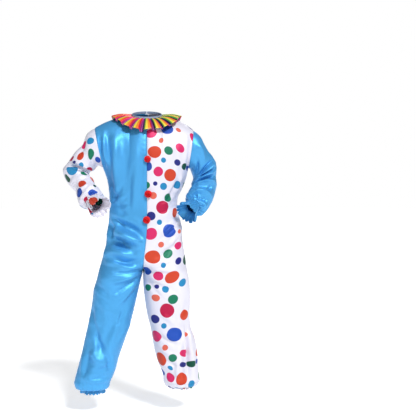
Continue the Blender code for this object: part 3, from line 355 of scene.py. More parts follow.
# Finer creases of the body, with the same columns and, last, how far the crease bows sideways
BODY_CREASES = {
    (RIGHT, 1): (
        # The blue chest: soft upright folds from the collar and a deep one beside the armhole
        (0.232, -0.085, 0.203, -0.300, 0.010, -0.008, 0.010),
        (0.215, -0.075, 0.196, -0.270, 0.009, 0.005, 0.008),
        (0.150, -0.105, 0.150, -0.340, 0.014, 0.004, 0.004),
        (0.098, -0.150, 0.100, -0.420, 0.012, -0.004, 0.003),
        (0.052, -0.130, 0.060, -0.430, 0.012, 0.003, -0.004),
        (0.075, -0.250, 0.085, -0.500, 0.009, -0.003, 0.004),
        (0.176, -0.300, 0.168, -0.460, 0.008, -0.004, -0.004),
        # Pulled towards the hand at the waist
        (0.178, -0.420, 0.120, -0.335, 0.007, -0.0045, 0.006),
        (0.176, -0.430, 0.095, -0.375, 0.006, 0.004, 0.006),
        (0.172, -0.445, 0.080, -0.430, 0.007, -0.004, 0.004),
        (0.168, -0.480, 0.090, -0.520, 0.008, 0.004, -0.004),
        (0.180, -0.500, 0.110, -0.560, 0.008, -0.005, -0.006),
        # The hip: a fan of ridges from the hand, then swags over the thigh
        (0.198, -0.520, 0.180, -0.612, 0.012, -0.010, -0.006),
        (0.180, -0.526, 0.010, -0.606, 0.017, -0.010, -0.014),
        (0.186, -0.548, 0.140, -0.604, 0.008, 0.006, 0.010),
        (0.152, -0.578, 0.015, -0.638, 0.015, 0.010, -0.010),
        (0.190, -0.618, 0.070, -0.672, 0.014, -0.011, -0.010),
        (0.205, -0.668, 0.060, -0.682, 0.018, 0.009, -0.006),
        (0.175, -0.712, 0.018, -0.706, 0.015, -0.011, 0.014),
        (0.222, -0.730, 0.090, -0.752, 0.012, 0.007, -0.010),
        # Whiskers from the crotch
        (0.030, -0.755, 0.150, -0.728, 0.006, 0.004, -0.006),
        (0.034, -0.768, 0.190, -0.772, 0.007, -0.005, -0.008),
        (0.038, -0.785, 0.200, -0.830, 0.007, 0.005, -0.006),
        (0.042, -0.800, 0.170, -0.885, 0.007, -0.005, -0.006),
        (0.048, -0.830, 0.140, -0.935, 0.007, 0.004, -0.004),
        # The blue thigh and shin
        (0.262, -0.840, 0.180, -0.905, 0.009, -0.004, -0.006),
        (0.255, -0.900, 0.140, -1.000, 0.012, 0.003, 0.010),
        (0.275, -0.950, 0.262, -1.060, 0.010, -0.005, 0.006),
        (0.215, -0.940, 0.190, -1.090, 0.012, 0.003, 0.004),
        (0.110, -0.960, 0.150, -1.060, 0.008, -0.004, 0.004),
        (0.130, -1.020, 0.195, -1.160, 0.012, 0.006, 0.008),
        (0.260, -1.055, 0.205, -1.195, 0.013, -0.010, 0.010),
        (0.285, -1.165, 0.228, -1.240, 0.016, 0.009, 0.006),
        (0.205, -1.180, 0.190, -1.300, 0.009, -0.005, -0.004),
        (0.318, -1.180, 0.330, -1.310, 0.008, 0.005, 0.003),
        (0.175, -1.230, 0.300, -1.275, 0.009, -0.004, -0.012),
        (0.190, -1.320, 0.330, -1.310, 0.009, 0.005, -0.010),
    ),
    (LEFT, 1): (
        # The dotted chest and waist
        (0.222, -0.095, 0.195, -0.300, 0.010, -0.006, 0.008),
        (0.150, -0.120, 0.140, -0.330, 0.014, 0.003, 0.006),
        (0.175, -0.280, 0.140, -0.400, 0.008, 0.005, 0.006),
        (0.150, -0.330, 0.085, -0.430, 0.007, -0.004, 0.006),
        (0.148, -0.395, 0.060, -0.445, 0.006, 0.004, 0.006),
        (0.150, -0.440, 0.050, -0.480, 0.007, -0.004, 0.004),
        (0.160, -0.520, 0.075, -0.600, 0.007, 0.005, -0.008),
        (0.165, -0.545, 0.040, -0.640, 0.007, -0.005, -0.010),
        (0.172, -0.575, 0.110, -0.660, 0.008, 0.005, -0.008),
        (0.175, -0.620, 0.060, -0.720, 0.009, -0.004, -0.010),
        (0.010, -0.745, 0.110, -0.720, 0.006, 0.004, -0.006),
        (0.000, -0.768, 0.150, -0.780, 0.007, -0.005, -0.006),
        (-0.005, -0.790, 0.130, -0.850, 0.007, 0.004, -0.006),
        (0.000, -0.820, 0.090, -0.920, 0.007, -0.004, -0.004),
        # The dotted leg: a long upright pleat down the outside
        (0.206, -0.900, 0.170, -1.010, 0.009, -0.004, 0.006),
        (0.060, -0.980, 0.150, -1.060, 0.009, 0.004, 0.008),
        (0.205, -1.030, 0.212, -1.340, 0.007, -0.010, -0.006),
        (0.190, -1.060, 0.196, -1.340, 0.008, 0.006, -0.004),
        (0.230, -1.130, 0.242, -1.330, 0.008, 0.005, -0.004),
        (0.050, -1.080, 0.170, -1.150, 0.009, -0.005, -0.010),
        (0.060, -1.150, 0.150, -1.205, 0.008, 0.004, -0.008),
        (0.075, -1.210, 0.180, -1.260, 0.009, -0.005, -0.010),
        (0.150, -1.220, 0.145, -1.330, 0.009, 0.005, 0.004),
        (0.090, -1.290, 0.180, -1.320, 0.008, -0.004, -0.008),
    ),
    (RIGHT, -1): (
        # The back of both halves
        (0.225, -0.095, 0.200, -0.300, 0.011, -0.007, 0.008),
        (0.175, -0.080, 0.060, -0.150, 0.012, 0.004, 0.008),
        (0.190, -0.160, 0.110, -0.240, 0.010, -0.004, 0.010),
        (0.120, -0.240, 0.105, -0.460, 0.012, 0.004, 0.004),
        (0.050, -0.300, 0.045, -0.500, 0.010, -0.003, 0.003),
        (0.185, -0.420, 0.070, -0.455, 0.008, -0.005, -0.008),
        (0.185, -0.460, 0.060, -0.510, 0.008, 0.005, -0.010),
        (0.190, -0.560, 0.040, -0.610, 0.009, -0.005, -0.012),
        (0.200, -0.690, 0.060, -0.730, 0.010, -0.004, -0.014),
        (0.220, -0.790, 0.060, -0.840, 0.009, 0.005, -0.014),
        (0.200, -0.860, 0.070, -0.900, 0.009, -0.004, -0.010),
        (0.255, -0.930, 0.150, -1.040, 0.010, 0.004, 0.006),
        (0.120, -1.000, 0.260, -1.080, 0.009, -0.006, -0.010),
        (0.130, -1.060, 0.280, -1.130, 0.009, 0.005, -0.010),
        (0.180, -1.130, 0.230, -1.290, 0.010, -0.004, 0.006),
        (0.300, -1.160, 0.320, -1.300, 0.009, -0.005, 0.004),
        (0.190, -1.280, 0.320, -1.310, 0.009, 0.005, -0.010),
    ),
    (LEFT, -1): (
        (0.215, -0.100, 0.195, -0.300, 0.011, -0.006, 0.008),
        (0.165, -0.085, 0.060, -0.160, 0.012, 0.004, 0.008),
        (0.100, -0.260, 0.095, -0.430, 0.012, 0.004, 0.004),
        (0.150, -0.380, 0.050, -0.420, 0.008, -0.005, -0.008),
        (0.152, -0.430, 0.050, -0.475, 0.008, 0.005, -0.008),
        (0.165, -0.510, 0.050, -0.580, 0.009, -0.005, -0.010),
        (0.175, -0.570, 0.080, -0.640, 0.009, 0.004, -0.010),
        (0.185, -0.700, 0.050, -0.745, 0.010, -0.004, -0.012),
        (0.190, -0.800, 0.030, -0.860, 0.009, 0.005, -0.012),
        (0.170, -0.880, 0.030, -0.930, 0.009, -0.004, -0.010),
        (0.060, -0.990, 0.190, -1.060, 0.009, -0.006, -0.010),
        (0.070, -1.060, 0.200, -1.120, 0.009, 0.005, -0.010),
        (0.130, -1.130, 0.140, -1.300, 0.010, -0.004, 0.006),
        (0.230, -1.150, 0.240, -1.310, 0.009, -0.005, 0.004),
        (0.100, -1.270, 0.220, -1.310, 0.009, 0.005, -0.010),
    ),
}

# Largest folds of the sleeves, as in the solids: share of the length, degrees round from the outer
# side over the front, half width along and round (degrees), depth
SLEEVE_FOLDS = {
    RIGHT: (
        (0.20, 60, 0.08, 30, -0.006),
        (0.25, 75, 0.045, 50, 0.006),
        (0.345, 85, 0.035, 60, -0.010),
        (0.45, 65, 0.05, 50, 0.007),
        (0.66, 20, 0.045, 70, -0.008),
        (0.74, 120, 0.04, 60, 0.007),
        (0.83, 30, 0.05, 60, 0.006),
        (0.40, 250, 0.05, 50, -0.007),
        (0.62, 280, 0.05, 50, 0.007),
    ),
    LEFT: (
        (0.16, 70, 0.06, 40, 0.006),
        (0.30, 110, 0.06, 45, -0.011),
        (0.42, 60, 0.035, 55, 0.008),
        (0.50, 90, 0.03, 70, -0.009),
        (0.58, 60, 0.035, 60, 0.009),
        (0.66, 100, 0.03, 70, -0.009),
        (0.75, 70, 0.035, 70, 0.009),
        (0.84, 110, 0.035, 60, -0.008),
        (0.45, 260, 0.05, 50, -0.007),
        (0.70, 270, 0.05, 60, 0.007),
    ),
}
# Finer creases of the sleeves: start share and degrees, end share and degrees, half width, depth
SLEEVE_CREASES = {
    RIGHT: (
        (0.06, 40, 0.30, 60, 0.010, -0.004),
        (0.05, 100, 0.22, 120, 0.009, 0.004),
        # The dotted sleeve: the cloth falls over the elbow in one deep fold
        (0.375, 25, 0.325, 150, 0.011, -0.010),
        (0.300, 30, 0.270, 140, 0.012, 0.006),
        (0.415, 20, 0.400, 130, 0.011, 0.006),
        (0.470, 90, 0.400, 150, 0.008, -0.005),
        (0.545, 10, 0.500, 90, 0.010, -0.004),
        (0.610, 20, 0.600, 75, 0.007, -0.006),
        (0.66, 0, 0.58, 150, 0.008, -0.004),
        (0.72, -30, 0.66, 60, 0.007, 0.004),
        (0.80, 20, 0.70, 140, 0.008, -0.004),
        (0.88, -10, 0.80, 100, 0.007, 0.005),
        (0.93, 30, 0.84, 150, 0.007, -0.004),
        (0.30, 340, 0.45, 230, 0.009, -0.005),
        (0.48, 350, 0.50, 240, 0.008, 0.005),
        (0.60, 340, 0.55, 230, 0.008, -0.005),
        (0.75, 330, 0.68, 220, 0.009, 0.004),
        (0.88, 320, 0.80, 220, 0.008, -0.004),
    ),
    LEFT: (
        # The blue sleeve: a hollow under the upper arm, then ridges from the elbow's crook to its outside
        (0.02, 70, 0.24, 80, 0.012, 0.006),
        (0.03, 112, 0.20, 125, 0.010, -0.004),
        (0.12, 104, 0.25, 165, 0.014, -0.008),
        (0.327, 0, 0.275, 145, 0.009, -0.009),
        (0.372, 15, 0.345, 135, 0.010, 0.010),
        (0.415, 20, 0.405, 125, 0.008, -0.009),
        (0.462, 25, 0.462, 120, 0.009, 0.009),
        (0.513, 28, 0.508, 112, 0.008, -0.009),
        (0.560, 30, 0.565, 100, 0.009, 0.008),
        (0.607, 40, 0.735, 68, 0.008, -0.007),
        (0.585, 140, 0.635, 108, 0.012, -0.009),
        (0.667, 150, 0.740, 68, 0.008, -0.009),
        (0.785, 128, 0.735, 35, 0.010, 0.009),
        (0.920, 118, 0.830, 40, 0.009, -0.009),
        (0.940, 80, 0.890, 30, 0.008, 0.006),
        (0.850, 130, 0.890, 100, 0.008, -0.006),
        (0.30, 340, 0.44, 220, 0.009, -0.006),
        (0.46, 350, 0.50, 230, 0.008, 0.006),
        (0.58, 340, 0.56, 220, 0.008, -0.006),
        (0.72, 340, 0.66, 220, 0.008, 0.006),
        (0.86, 330, 0.80, 210, 0.008, -0.005),
    ),
}
SLEEVE_BOW = 0.004
# Where the sleeve's creases begin: metres from the armhole, share of the length before the wrist
SLEEVE_CREASE_ENDS = (0.03, 0.05)
# Gathers beside an elastic or a sleeve's head: waves round it, depth, how far they reach
WRIST_GATHERS = {RIGHT: (19, 0.0030, 0.055), LEFT: (17, 0.0042, 0.075)}
ANKLE_GATHERS = (23, 0.0034, 0.060)
HEAD_GATHERS = (21, 0.0012, 0.018)
ELASTIC_WIDTH = 0.004
GATHER_AT_ELASTIC = 0.35
# Waves that add up to an uneven gather: share of its count, weight
RIPPLES = ((1.0, 0.6), (0.62, 0.35), (1.45, 0.3), (0.37, 0.2))
# Seeds of what is drawn at random
ANKLE_SEED = 11
WRIST_SEED = 21
HEAD_SEED = 31
ANKLE_FRILL_SEED = 3
WRIST_FRILL_SEED = 7
POMPOM_SEED = 50

# Pompoms: radii from the top down, strands, their half thickness, their core, and as shares of the
# radius their shortest and longest reach, how much they stray and bend, and how far they sag
POMPOM_RADII = (0.0170, 0.0188, 0.0184)
YARNS_EACH = 2600
YARN_RADIUS = 0.00075
STRAND_TAPER = 0.55
YARN_CORE = 0.30
YARN_REACH = (0.86, 1.04)
YARN_STRAY = 0.07
YARN_BEND = 0.05
YARN_SAG = 0.03
POMPOM_BACK_GAP = 0.0002

# Stitches: length, gap, half thickness, height over the cloth
STITCH = (0.0026, 0.0010)
BAND_STITCH = (0.0024, 0.0010)
THREAD_RADIUS = 0.00028
STITCH_LIFT = 0.0004
BAND_STITCH_LIFT = 0.0003
THREAD_ARCH = 0.9
# Rows that carry stitches, and how far below the zip its stitches begin
WRIST_STITCH_ROWS = (-2, -5)
ANKLE_STITCH_ROWS = (1, 4)
HEM_ROW = -2
ZIP_STITCH_COLUMN = 2
ZIP_STITCH_PAST = 0.01

# Zip in the middle of the back
ZIP_BOTTOM_Z = -0.545
ZIP_END_TAPER = 0.030
ZIP_HALF_OPENING = 0.0042
# The opening's edge: how fast the shift fades across the panel, and where it ends
ZIP_SHIFT_FADE = 0.012
ZIP_SHIFT_END = 0.05
TAPE_ROWS = 160
TAPE_COLUMNS = 7
TAPE_SUNK = 0.0003
# Coil: pitch, reach behind and past the middle, height on the tape, arch, half thickness
ZIP_TOOTH_PITCH = 0.0016
TOOTH_ROOT = 0.0016
TOOTH_TIP = 0.0013
TOOTH_LIFT = 0.0004
TOOTH_ARCH = 0.0006
TOOTH_RADIUS = 0.00055

# Colours, linear
BLUE = (0.070, 0.350, 0.700)
WHITE = (0.690, 0.680, 0.775)
DOT_COLOURS = {
    "coral": (0.620, 0.117, 0.075),
    "orange": (0.530, 0.046, 0.017),
    "magenta": (0.580, 0.018, 0.115),
    "crimson": (0.430, 0.004, 0.052),
    "green": (0.004, 0.160, 0.086),
    "dark green": (0.001, 0.067, 0.038),
    "navy": (0.015, 0.019, 0.180),
    "blue": (0.012, 0.058, 0.320),
    "royal": (0.010, 0.066, 0.400),
    "cyan": (0.012, 0.205, 0.430),
}
# Colours of the rainbow print, in order. The last two, purple and navy, are placed in the collar's valleys
# as painted shade.
RAINBOW = (
    (0.090, 0.340, 0.060),
    (0.820, 0.660, 0.060),
    (0.840, 0.250, 0.025),
    (0.640, 0.014, 0.020),
    (0.780, 0.045, 0.260),
    (0.190, 0.025, 0.160),
    (0.012, 0.016, 0.100),
)
BAND_COLOUR = (0.240, 0.300, 0.430)
YARN_COLOUR = (0.900, 0.012, 0.020)
TAPE_COLOUR = (0.120, 0.360, 0.640)
METAL_COLOUR = (0.580, 0.600, 0.630)
WORN_METAL = (0.36, 0.37, 0.39)
BLUE_THREAD = (0.10, 0.34, 0.62)
WHITE_THREAD = (0.78, 0.77, 0.82)
SATIN_WEAVE = 0.0006
# Finish of the cloths: colour drift as scale, detail, spread and darkest, the weave's strength and
# depth, and the crumples' stretch, scale and detail, and depth
CLOTH_DRIFT = (5.0, 3.0, 0.16, 0.92)
WEAVE_BUMP = (0.18, 0.00012)
CRUMPLE_STRETCH = (1.0, 0.7, 1.0)
CRUMPLE_NOISE = (34.0, 3.0)
CRUMPLE_DEPTH = 0.004
SHEEN_ROUGHNESS = 0.35
THREAD_SPECKLE = (300.0, 2.0, 0.5, 0.7)
YARN_SPECKLE = (420.0, 2.0, 0.4, 0.8)
# Softness of a dot's edge, and the flat part of a stripe: from and to, as shares of its width
DOT_EDGE = 0.0012
STRIPE_FLAT = (0.12, 0.88)

# The dotted print, charted as one repeat: colour, across from the front seam, height, radius
DOT_REPEAT = (0.245, 0.528)
# How the hanging cloth carries the print: height, slip up, the print's own middle line at the front,
# X, and the pull towards the hand on the hip: how much it tilts the outer cloth, and how much it draws
# both edges in
PRINT_HANG = (
    (-1.420, -0.016, 0.068, 0.30, 0.00),
    (-1.302, -0.016, 0.050, 0.42, 0.00),
    (-1.252, -0.012, 0.026, 0.42, 0.00),
    (-1.197, -0.013, 0.016, 0.10, 0.00),
    (-1.088, -0.012, 0.019, 0.00, 0.15),
    (-1.000, -0.012, 0.020, 0.00, 0.20),
    (-0.905, -0.016, 0.014, 0.20, 0.22),
    (-0.850, -0.012, 0.006, 0.30, 0.22),
    (-0.790, -0.008, 0.000, 0.30, 0.22),
    (-0.700, -0.008, -0.002, 0.30, 0.20),
    (-0.640, -0.005, -0.002, 0.28, 0.14),
    (-0.580, -0.005, 0.000, 0.00, 0.00),
    (-0.454, -0.003, 0.000, 0.00, 0.00),
    (-0.400, 0.000, 0.000, 0.00, 0.00),
)
PULL_FROM = 0.09
DRAW_OUTSIDE = (0.05, 0.10)
DOTS = (
    ("coral", 0.074, -0.114, 0.015),
    ("magenta", 0.170, -0.148, 0.023),
    ("green", 0.110, -0.170, 0.022),
    ("orange", 0.038, -0.177, 0.034),
    ("cyan", 0.083, -0.220, 0.013),
    ("navy", 0.154, -0.225, 0.017),
    ("dark green", 0.204, -0.243, 0.023),
    ("blue", 0.004, -0.250, 0.021),
    ("magenta", 0.056, -0.274, 0.024),
    ("orange", 0.117, -0.291, 0.031),
    ("navy", 0.041, -0.333, 0.011),
    ("cyan", 0.083, -0.347, 0.018),
    ("cyan", 0.163, -0.340, 0.020),
    ("green", -0.003, -0.341, 0.018),
    ("coral", 0.031, -0.393, 0.018),
    ("green", 0.110, -0.404, 0.022),
    ("crimson", 0.079, -0.454, 0.034),
    ("orange", 0.160, -0.482, 0.023),
    ("navy", 0.020, -0.498, 0.022),
    ("cyan", 0.063, -0.530, 0.014),
    ("royal", 0.114, -0.574, 0.035),
    ("magenta", 0.021, -0.587, 0.030),
    ("coral", 0.175, -0.578, 0.013),
)
# The print as charted on the dotted sleeve, where it lies otherwise: across from the middle of the
# front towards the inner side, down from the armhole
SLEEVE_REPEAT = (0.62, 0.66)
SLEEVE_DOTS = (
    ("cyan", -0.044, -0.029, 0.018),
    ("magenta", -0.062, -0.071, 0.016),
    ("green", 0.015, -0.050, 0.024),
    ("orange", -0.031, -0.107, 0.019),
    ("royal", 0.062, -0.020, 0.018),
    ("crimson", -0.068, -0.140, 0.012),
    ("navy", -0.034, -0.145, 0.010),
    ("cyan", 0.004, -0.132, 0.013),
    ("cyan", -0.020, -0.208, 0.030),
    ("crimson", 0.060, -0.124, 0.022),
    ("green", 0.034, -0.238, 0.016),
    ("dark green", -0.066, -0.240, 0.016),
    ("coral", 0.070, -0.273, 0.017),
    ("orange", -0.008, -0.307, 0.022),
    ("dark green", 0.054, -0.340, 0.010),
    ("blue", -0.041, -0.342, 0.022),
    ("royal", 0.024, -0.388, 0.024),
    ("crimson", -0.027, -0.400, 0.017),
    ("orange", -0.004, -0.450, 0.031),
    ("coral", 0.112, -0.098, 0.015),
    ("blue", 0.108, -0.262, 0.018),
    ("green", -0.112, -0.052, 0.021),
    ("coral", -0.118, -0.138, 0.015),
    ("royal", -0.172, -0.098, 0.026),
    ("magenta", -0.226, -0.044, 0.022),
    ("cyan", -0.238, -0.122, 0.014),
    ("orange", -0.296, -0.078, 0.029),
    ("navy", -0.350, -0.030, 0.013),
    ("green", -0.362, -0.118, 0.020),
    ("blue", -0.112, -0.232, 0.020),
    ("crimson", -0.176, -0.188, 0.028),
    ("coral", -0.232, -0.216, 0.018),
    ("dark green", -0.298, -0.172, 0.021),
    ("cyan", -0.350, -0.206, 0.018),
    ("orange", -0.128, -0.302, 0.021),
    ("navy", -0.184, -0.282, 0.012),
    ("magenta", -0.252, -0.290, 0.025),
    ("royal", -0.318, -0.268, 0.020),
    ("cyan", -0.110, -0.382, 0.018),
    ("coral", -0.168, -0.362, 0.016),
    ("green", -0.222, -0.372, 0.021),
    ("blue", -0.284, -0.352, 0.017),
    ("crimson", -0.118, -0.458, 0.022),
    ("orange", -0.186, -0.442, 0.028),
    ("cyan", -0.244, -0.440, 0.014),
    ("dark green", -0.086, -0.522, 0.014),
    ("magenta", -0.142, -0.534, 0.020),
    ("navy", -0.196, -0.520, 0.013),
    ("coral", -0.090, -0.600, 0.018),
    ("green", -0.150, -0.606, 0.016),
)
ANKLE_FRILL_PRINT = -1.42

# The photograph's view: metres in a pixel at the garment, the origin's pixel, the camera's distance
METRES_PER_PIXEL = 0.0051
FRAME_PIXELS = 416
ORIGIN_PIXEL = (147.0, 118.0)
CAMERA_DISTANCE = 4.75
CAMERA_Z = -0.30
FLOOR_Z = -1.50
FLOOR_SIZE = 30.0
FLOOR_GLOW = 0.50
# Lights: the sun's direction, power and width in degrees, the world's light, and the area lights:
# name, place, size, power
KEY_FROM = (0.75, -1.7, 1.75)
KEY_POWER = 2.9
KEY_WIDTH = 12
WORLD_COLOUR = (0.93, 0.96, 1.0)
WORLD_LIGHT = 0.22
LIGHTS_AIM = (0.0, 0.0, -0.65)
AREA_LIGHTS = (
    ("softbox", (-2.6, -3.2, 1.0), 1.4, 12.0),
    ("back", (0.6, 3.2, 1.8), 2.0, 30.0),
)


def unit(vectors):
    return vectors / np.maximum(np.linalg.norm(vectors, axis=-1, keepdims=True), 1e-12)


def eased(share):
    share = np.clip(share, 0.0, 1.0)
    return share * share * (3.0 - 2.0 * share)


def flowing(at, knots, values):
    """A smooth curve through rows of values, one row for each knot, read at one or many places."""
    knots, values = np.asarray(knots, float), np.asarray(values, float)
    at = np.clip(np.atleast_1d(np.asarray(at, float)), knots[0], knots[-1])
    if values.ndim == 1:
        values = values[:, None]
    steps = np.diff(knots)[:, None]
    slopes = np.diff(values, axis=0) / steps
    tangents = np.empty_like(values)
    tangents[0], tangents[-1] = slopes[0], slopes[-1]
    tangents[1:-1] = (slopes[:-1] * steps[1:] + slopes[1:] * steps[:-1]) / (steps[1:] + steps[:-1])
    low = np.clip(np.searchsorted(knots, at, side="right") - 1, 0, len(knots) - 2)
    width = steps[low]
    share = ((at - knots[low]) / width[:, 0])[:, None]
    return (
        values[low] * (2 * share**3 - 3 * share**2 + 1)
        + tangents[low] * width * (share**3 - 2 * share**2 + share)
        + values[low + 1] * (3 * share**2 - 2 * share**3)
        + tangents[low + 1] * width * (share**3 - share**2)
    )


def distances(points):
    """Distance of each point along its line from the first one."""
    return np.concatenate([[0.0], np.cumsum(np.linalg.norm(np.diff(points, axis=0), axis=1))])


def read_line(at, along, values):
    """Rows of three values read at places along a line."""
    return np.stack([np.interp(at, along, values[:, axis]) for axis in range(3)], axis=1)


def evenly(points, count):
    """The same line with count + 1 points at equal distances along it."""
    lengths = distances(points)
    return read_line(np.linspace(0.0, lengths[-1], count + 1), lengths, points)


def bell(away, width):
    return np.exp(-((away / width) ** 2))


def wander(share, waves):
    """A sum of sines round a ring. The share goes from 0 to 1."""
    return sum(size * np.sin(2 * math.pi * count * share + start) for count, size, start in waves)


def neck_ring(angle):
    """A point of the neck seam: angle 0 is the front, a quarter turn the wearer's left."""
    angle = np.asarray(angle, float)
    return np.stack(
        [
            NECK_HALF_WIDTH * np.sin(angle),
            NECK_Y - NECK_HALF_DEPTH * np.cos(angle),
            NECK_Z - NECK_RISE * np.cos(angle),
        ],
        axis=-1,
    )


def from_neck(points):
    """Level directions from the middle of the neck to points."""
    return unit((points - np.array([0.0, NECK_Y, 0.0])) * np.array([1.0, 1.0, 0.0]))


def middle_x(height):
    """X of the middle seam at a height."""
    line = np.array(MIDDLE_LINE)
    return float(flowing(height, line[:, 0], line[:, 1])[0, 0])


def body_section(side, height):
    """The front and back line of one half at a height, from the middle or inseam to the side seam."""
    widths, depths = np.array(BODY_WIDTHS[side]), np.array(BODY_DEPTHS)
    outer, inner = flowing(height, widths[:, 0], widths[:, 1:])[0]
    front, back = flowing(height, depths[:, 0], depths[:, 1:])[0]
    if height >= CROTCH_Z:
        inner = side * middle_x(height)
    middle = (inner + outer) / 2
    start = -math.pi / 2
    if height > CROTCH_Z:
        merged = float(eased((height - CROTCH_Z) / (RISE_Z - CROTCH_Z)))
        far = inner - (outer - inner) * merged
        middle = (far + outer) / 2
        reach = (middle - inner) / (outer - middle)
        start = -math.asin(min(1.0, max(0.0, reach) ** (1 / SECTION_SQUARENESS)))
    angle = np.linspace(start, math.pi / 2, SECTION_POINTS)
    sine, cosine = np.sin(angle), np.cos(angle)
    across = middle + (outer - middle) * np.sign(sine) * np.abs(sine) ** SECTION_SQUARENESS
    depth = np.clip(cosine, 0.0, 1.0) ** SECTION_SQUARENESS
    level = np.full_like(angle, height)
    front_line = np.stack([across, -front * depth, level], axis=1)
    back_line = np.stack([across, back * depth, level], axis=1)
    return front_line, back_line


def body_rows(side, height):
    """One row of the half body: middle or inseam, front, side seam, back, middle or inseam."""
    front_line, back_line = body_section(side, height)
    front = evenly(front_line, PANEL_COLUMNS)
    back = evenly(back_line, PANEL_COLUMNS)[::-1]
    return np.concatenate([front, back[1:]])


def ankle_ring(side, count, closed=False):
    """The ankle elastic's stitch line from the inseam round by the front. Closed ends on its start."""
    out, y, height = ANKLE[side]
    turn = np.linspace(0.0, 2 * math.pi, count + closed, endpoint=closed)
    across, depth = np.cos(turn), np.sin(turn)
    level = np.full(len(turn), height)
    return np.stack([out - ANKLE_RADIUS * across, y - ANKLE_RADIUS * depth, level], axis=1)


def blouse_rows(side):
    """The leg's end, from the ankle elastic out and down under the hem's roll."""
    hem = body_rows(side, HEM_Z)
    ankle = ankle_ring(side, len(hem) - 1, closed=True)
    height = ANKLE[side][2]
    profile = np.array([(HEM_Z - height, 0.0), *BLOUSE])
    knots = np.linspace(0.0, 1.0, len(profile))
    read = flowing(np.linspace(0.0, 1.0, BLOUSE_ROWS + 1)[1:], knots, profile)
    rows = []
    for rise, share in read[::-1]:
        row = hem * (1 - share) + ankle * share
        row[:, 2] = height + rise
        rows.append(row)
    return rows


def armhole_ring(side, angle):
    """The armhole seam: angle 0 is the shoulder's tip, a quarter turn the front."""
    outer_x, outer_z, inner_x, inner_z, y, depth = SLEEVE_SECTIONS[side][0]
    angle = np.asarray(angle, float)
    half_x, half_z = (outer_x - inner_x) / 2, (outer_z - inner_z) / 2
    return np.stack(
        [
            (outer_x + inner_x) / 2 + half_x * np.cos(angle),
            y - depth * np.sin(angle),
            (outer_z + inner_z) / 2 + half_z * np.cos(angle),
        ],
        axis=-1,
    )


def shoulder_line(side, count):
    """The shoulder seam, from the neck seam's side to the armhole's tip."""
    start = neck_ring(math.pi / 2)
    tip = armhole_ring(side, 0.0)
    share = np.linspace(0.0, 1.0, count + 1)
    line = start + (tip - start) * share[:, None]
    line[:, 2] = start[2] + (tip[2] - start[2]) * share**2
    return line


def yoke_panel(side, facing):
    """Rows from the armpit up to the neck and shoulder seams, front (1) or back (-1), middle to side."""
    front_line, back_line = body_section(side, ARMPIT_Z)
    bottom = evenly(front_line if facing > 0 else back_line, PANEL_COLUMNS)
    quarter = np.linspace(0.0, math.pi / 2, NECK_COLUMNS + 1)
    neck = neck_ring(quarter if facing > 0 else math.pi - quarter)
    shoulder = shoulder_line(side, PANEL_COLUMNS - NECK_COLUMNS)
    top = np.concatenate([neck, shoulder[1:]])
    share = np.linspace(0.0, 1.0, YOKE_ROWS + 1)
    profile = np.array(CHEST_LINE if facing > 0 else BACK_LINE)
    middle_depth = flowing(share, profile[:, 0], profile[:, 1])[:, 0]
    height = bottom[0, 2] + (top[0, 2] - bottom[0, 2]) * share
    middle = np.stack([np.zeros_like(share), -facing * middle_depth, height], axis=1)
    edge = armhole_ring(side, math.pi - facing * math.pi * share)
    up = share[:, None, None]
    across = np.linspace(0.0, 1.0, PANEL_COLUMNS + 1)[None, :, None]
    ruled = bottom[None] * (1 - up) + top[None] * up
    sides = middle[:, None] * (1 - across) + edge[:, None] * across
    corners = (bottom[0] * (1 - across) + bottom[-1] * across) * (1 - up)
    corners = corners + (top[0] * (1 - across) + top[-1] * across) * up
    return ruled + sides - corners


def from_line(p, q, p0, q0, p1, q1, bow):
    """Distance from a bowed line, and the share along it. The bow is its sideways reach at the middle."""
    run = np.array([p1 - p0, q1 - q0])
    length = np.hypot(*run)
    share = ((p - p0) * run[0] + (q - q0) * run[1]) / length**2
    side = np.array([-run[1], run[0]]) / length
    inside = np.clip(share, 0.0, 1.0)
    offset = bow * 4 * inside * (1 - inside)
    away_p = p - p0 - inside * run[0] - side[0] * offset
    away_q = q - q0 - inside * run[1] - side[1] * offset
    return np.hypot(away_p, away_q), inside


def fold(p, q, p0, q0, p1, q1, width, reach):
    """A plain ridge or trough along a line."""
    return reach * bell(from_line(p, q, p0, q0, p1, q1, 0.0)[0], width)


def crease(p, q, p0, q0, p1, q1, width, reach, bow):
    """A soft ridge or trough with tapered ends and a lesser opposite fold on both sides."""
    away, share = from_line(p, q, p0, q0, p1, q1, bow)
    taper_in, taper_out = CREASE_TAPER
    ends = eased(share / taper_in) * eased((1 - share) / taper_out) * (1 - CREASE_END) + CREASE_END
    return reach * ends * (bell(away, width) - VALLEY_DEPTH * bell(away - VALLEY_AT * width, width))


def body_crease(p, q, p0, q0, p1, q1, width, reach, bow):
    return crease(p, q, p0, q0, p1, q1, width * CREASE_WIDTH, reach * CREASE_DEPTH, bow)


def body_push(table, side, points, shape, turn):
    """How far each point of a half body moves outwards for a table of folds."""
    push = np.zeros(points.shape[:-1])
    across, depth, height = points[..., 0], points[..., 1], points[..., 2]
    for facing in (1, -1):
        for row in table[side, facing]:
            push += shape(across, height, *row) * eased(-facing * depth / turn)
    return push


def ripple(turn, waves, seed):
    """Uneven waves round a ring, about -1 to 1. The turn is in radians."""
    chance = np.random.default_rng(seed)
    total = np.zeros_like(turn)
    for share, weight in RIPPLES:
        count = max(2, round(waves * share))
        total += weight * np.sin(count * turn + chance.uniform(0, 2 * math.pi))
    return total


def gathers(turn, away, sizes, seed, at_seam=GATHER_AT_ELASTIC):
    """Small uneven folds that start at a gathered seam and fade with the distance from it."""
    waves, depth, reach = sizes
    fade = np.exp(-away / reach) * eased(away / ELASTIC_WIDTH + at_seam)
    return ripple(turn, waves, seed) * depth * fade


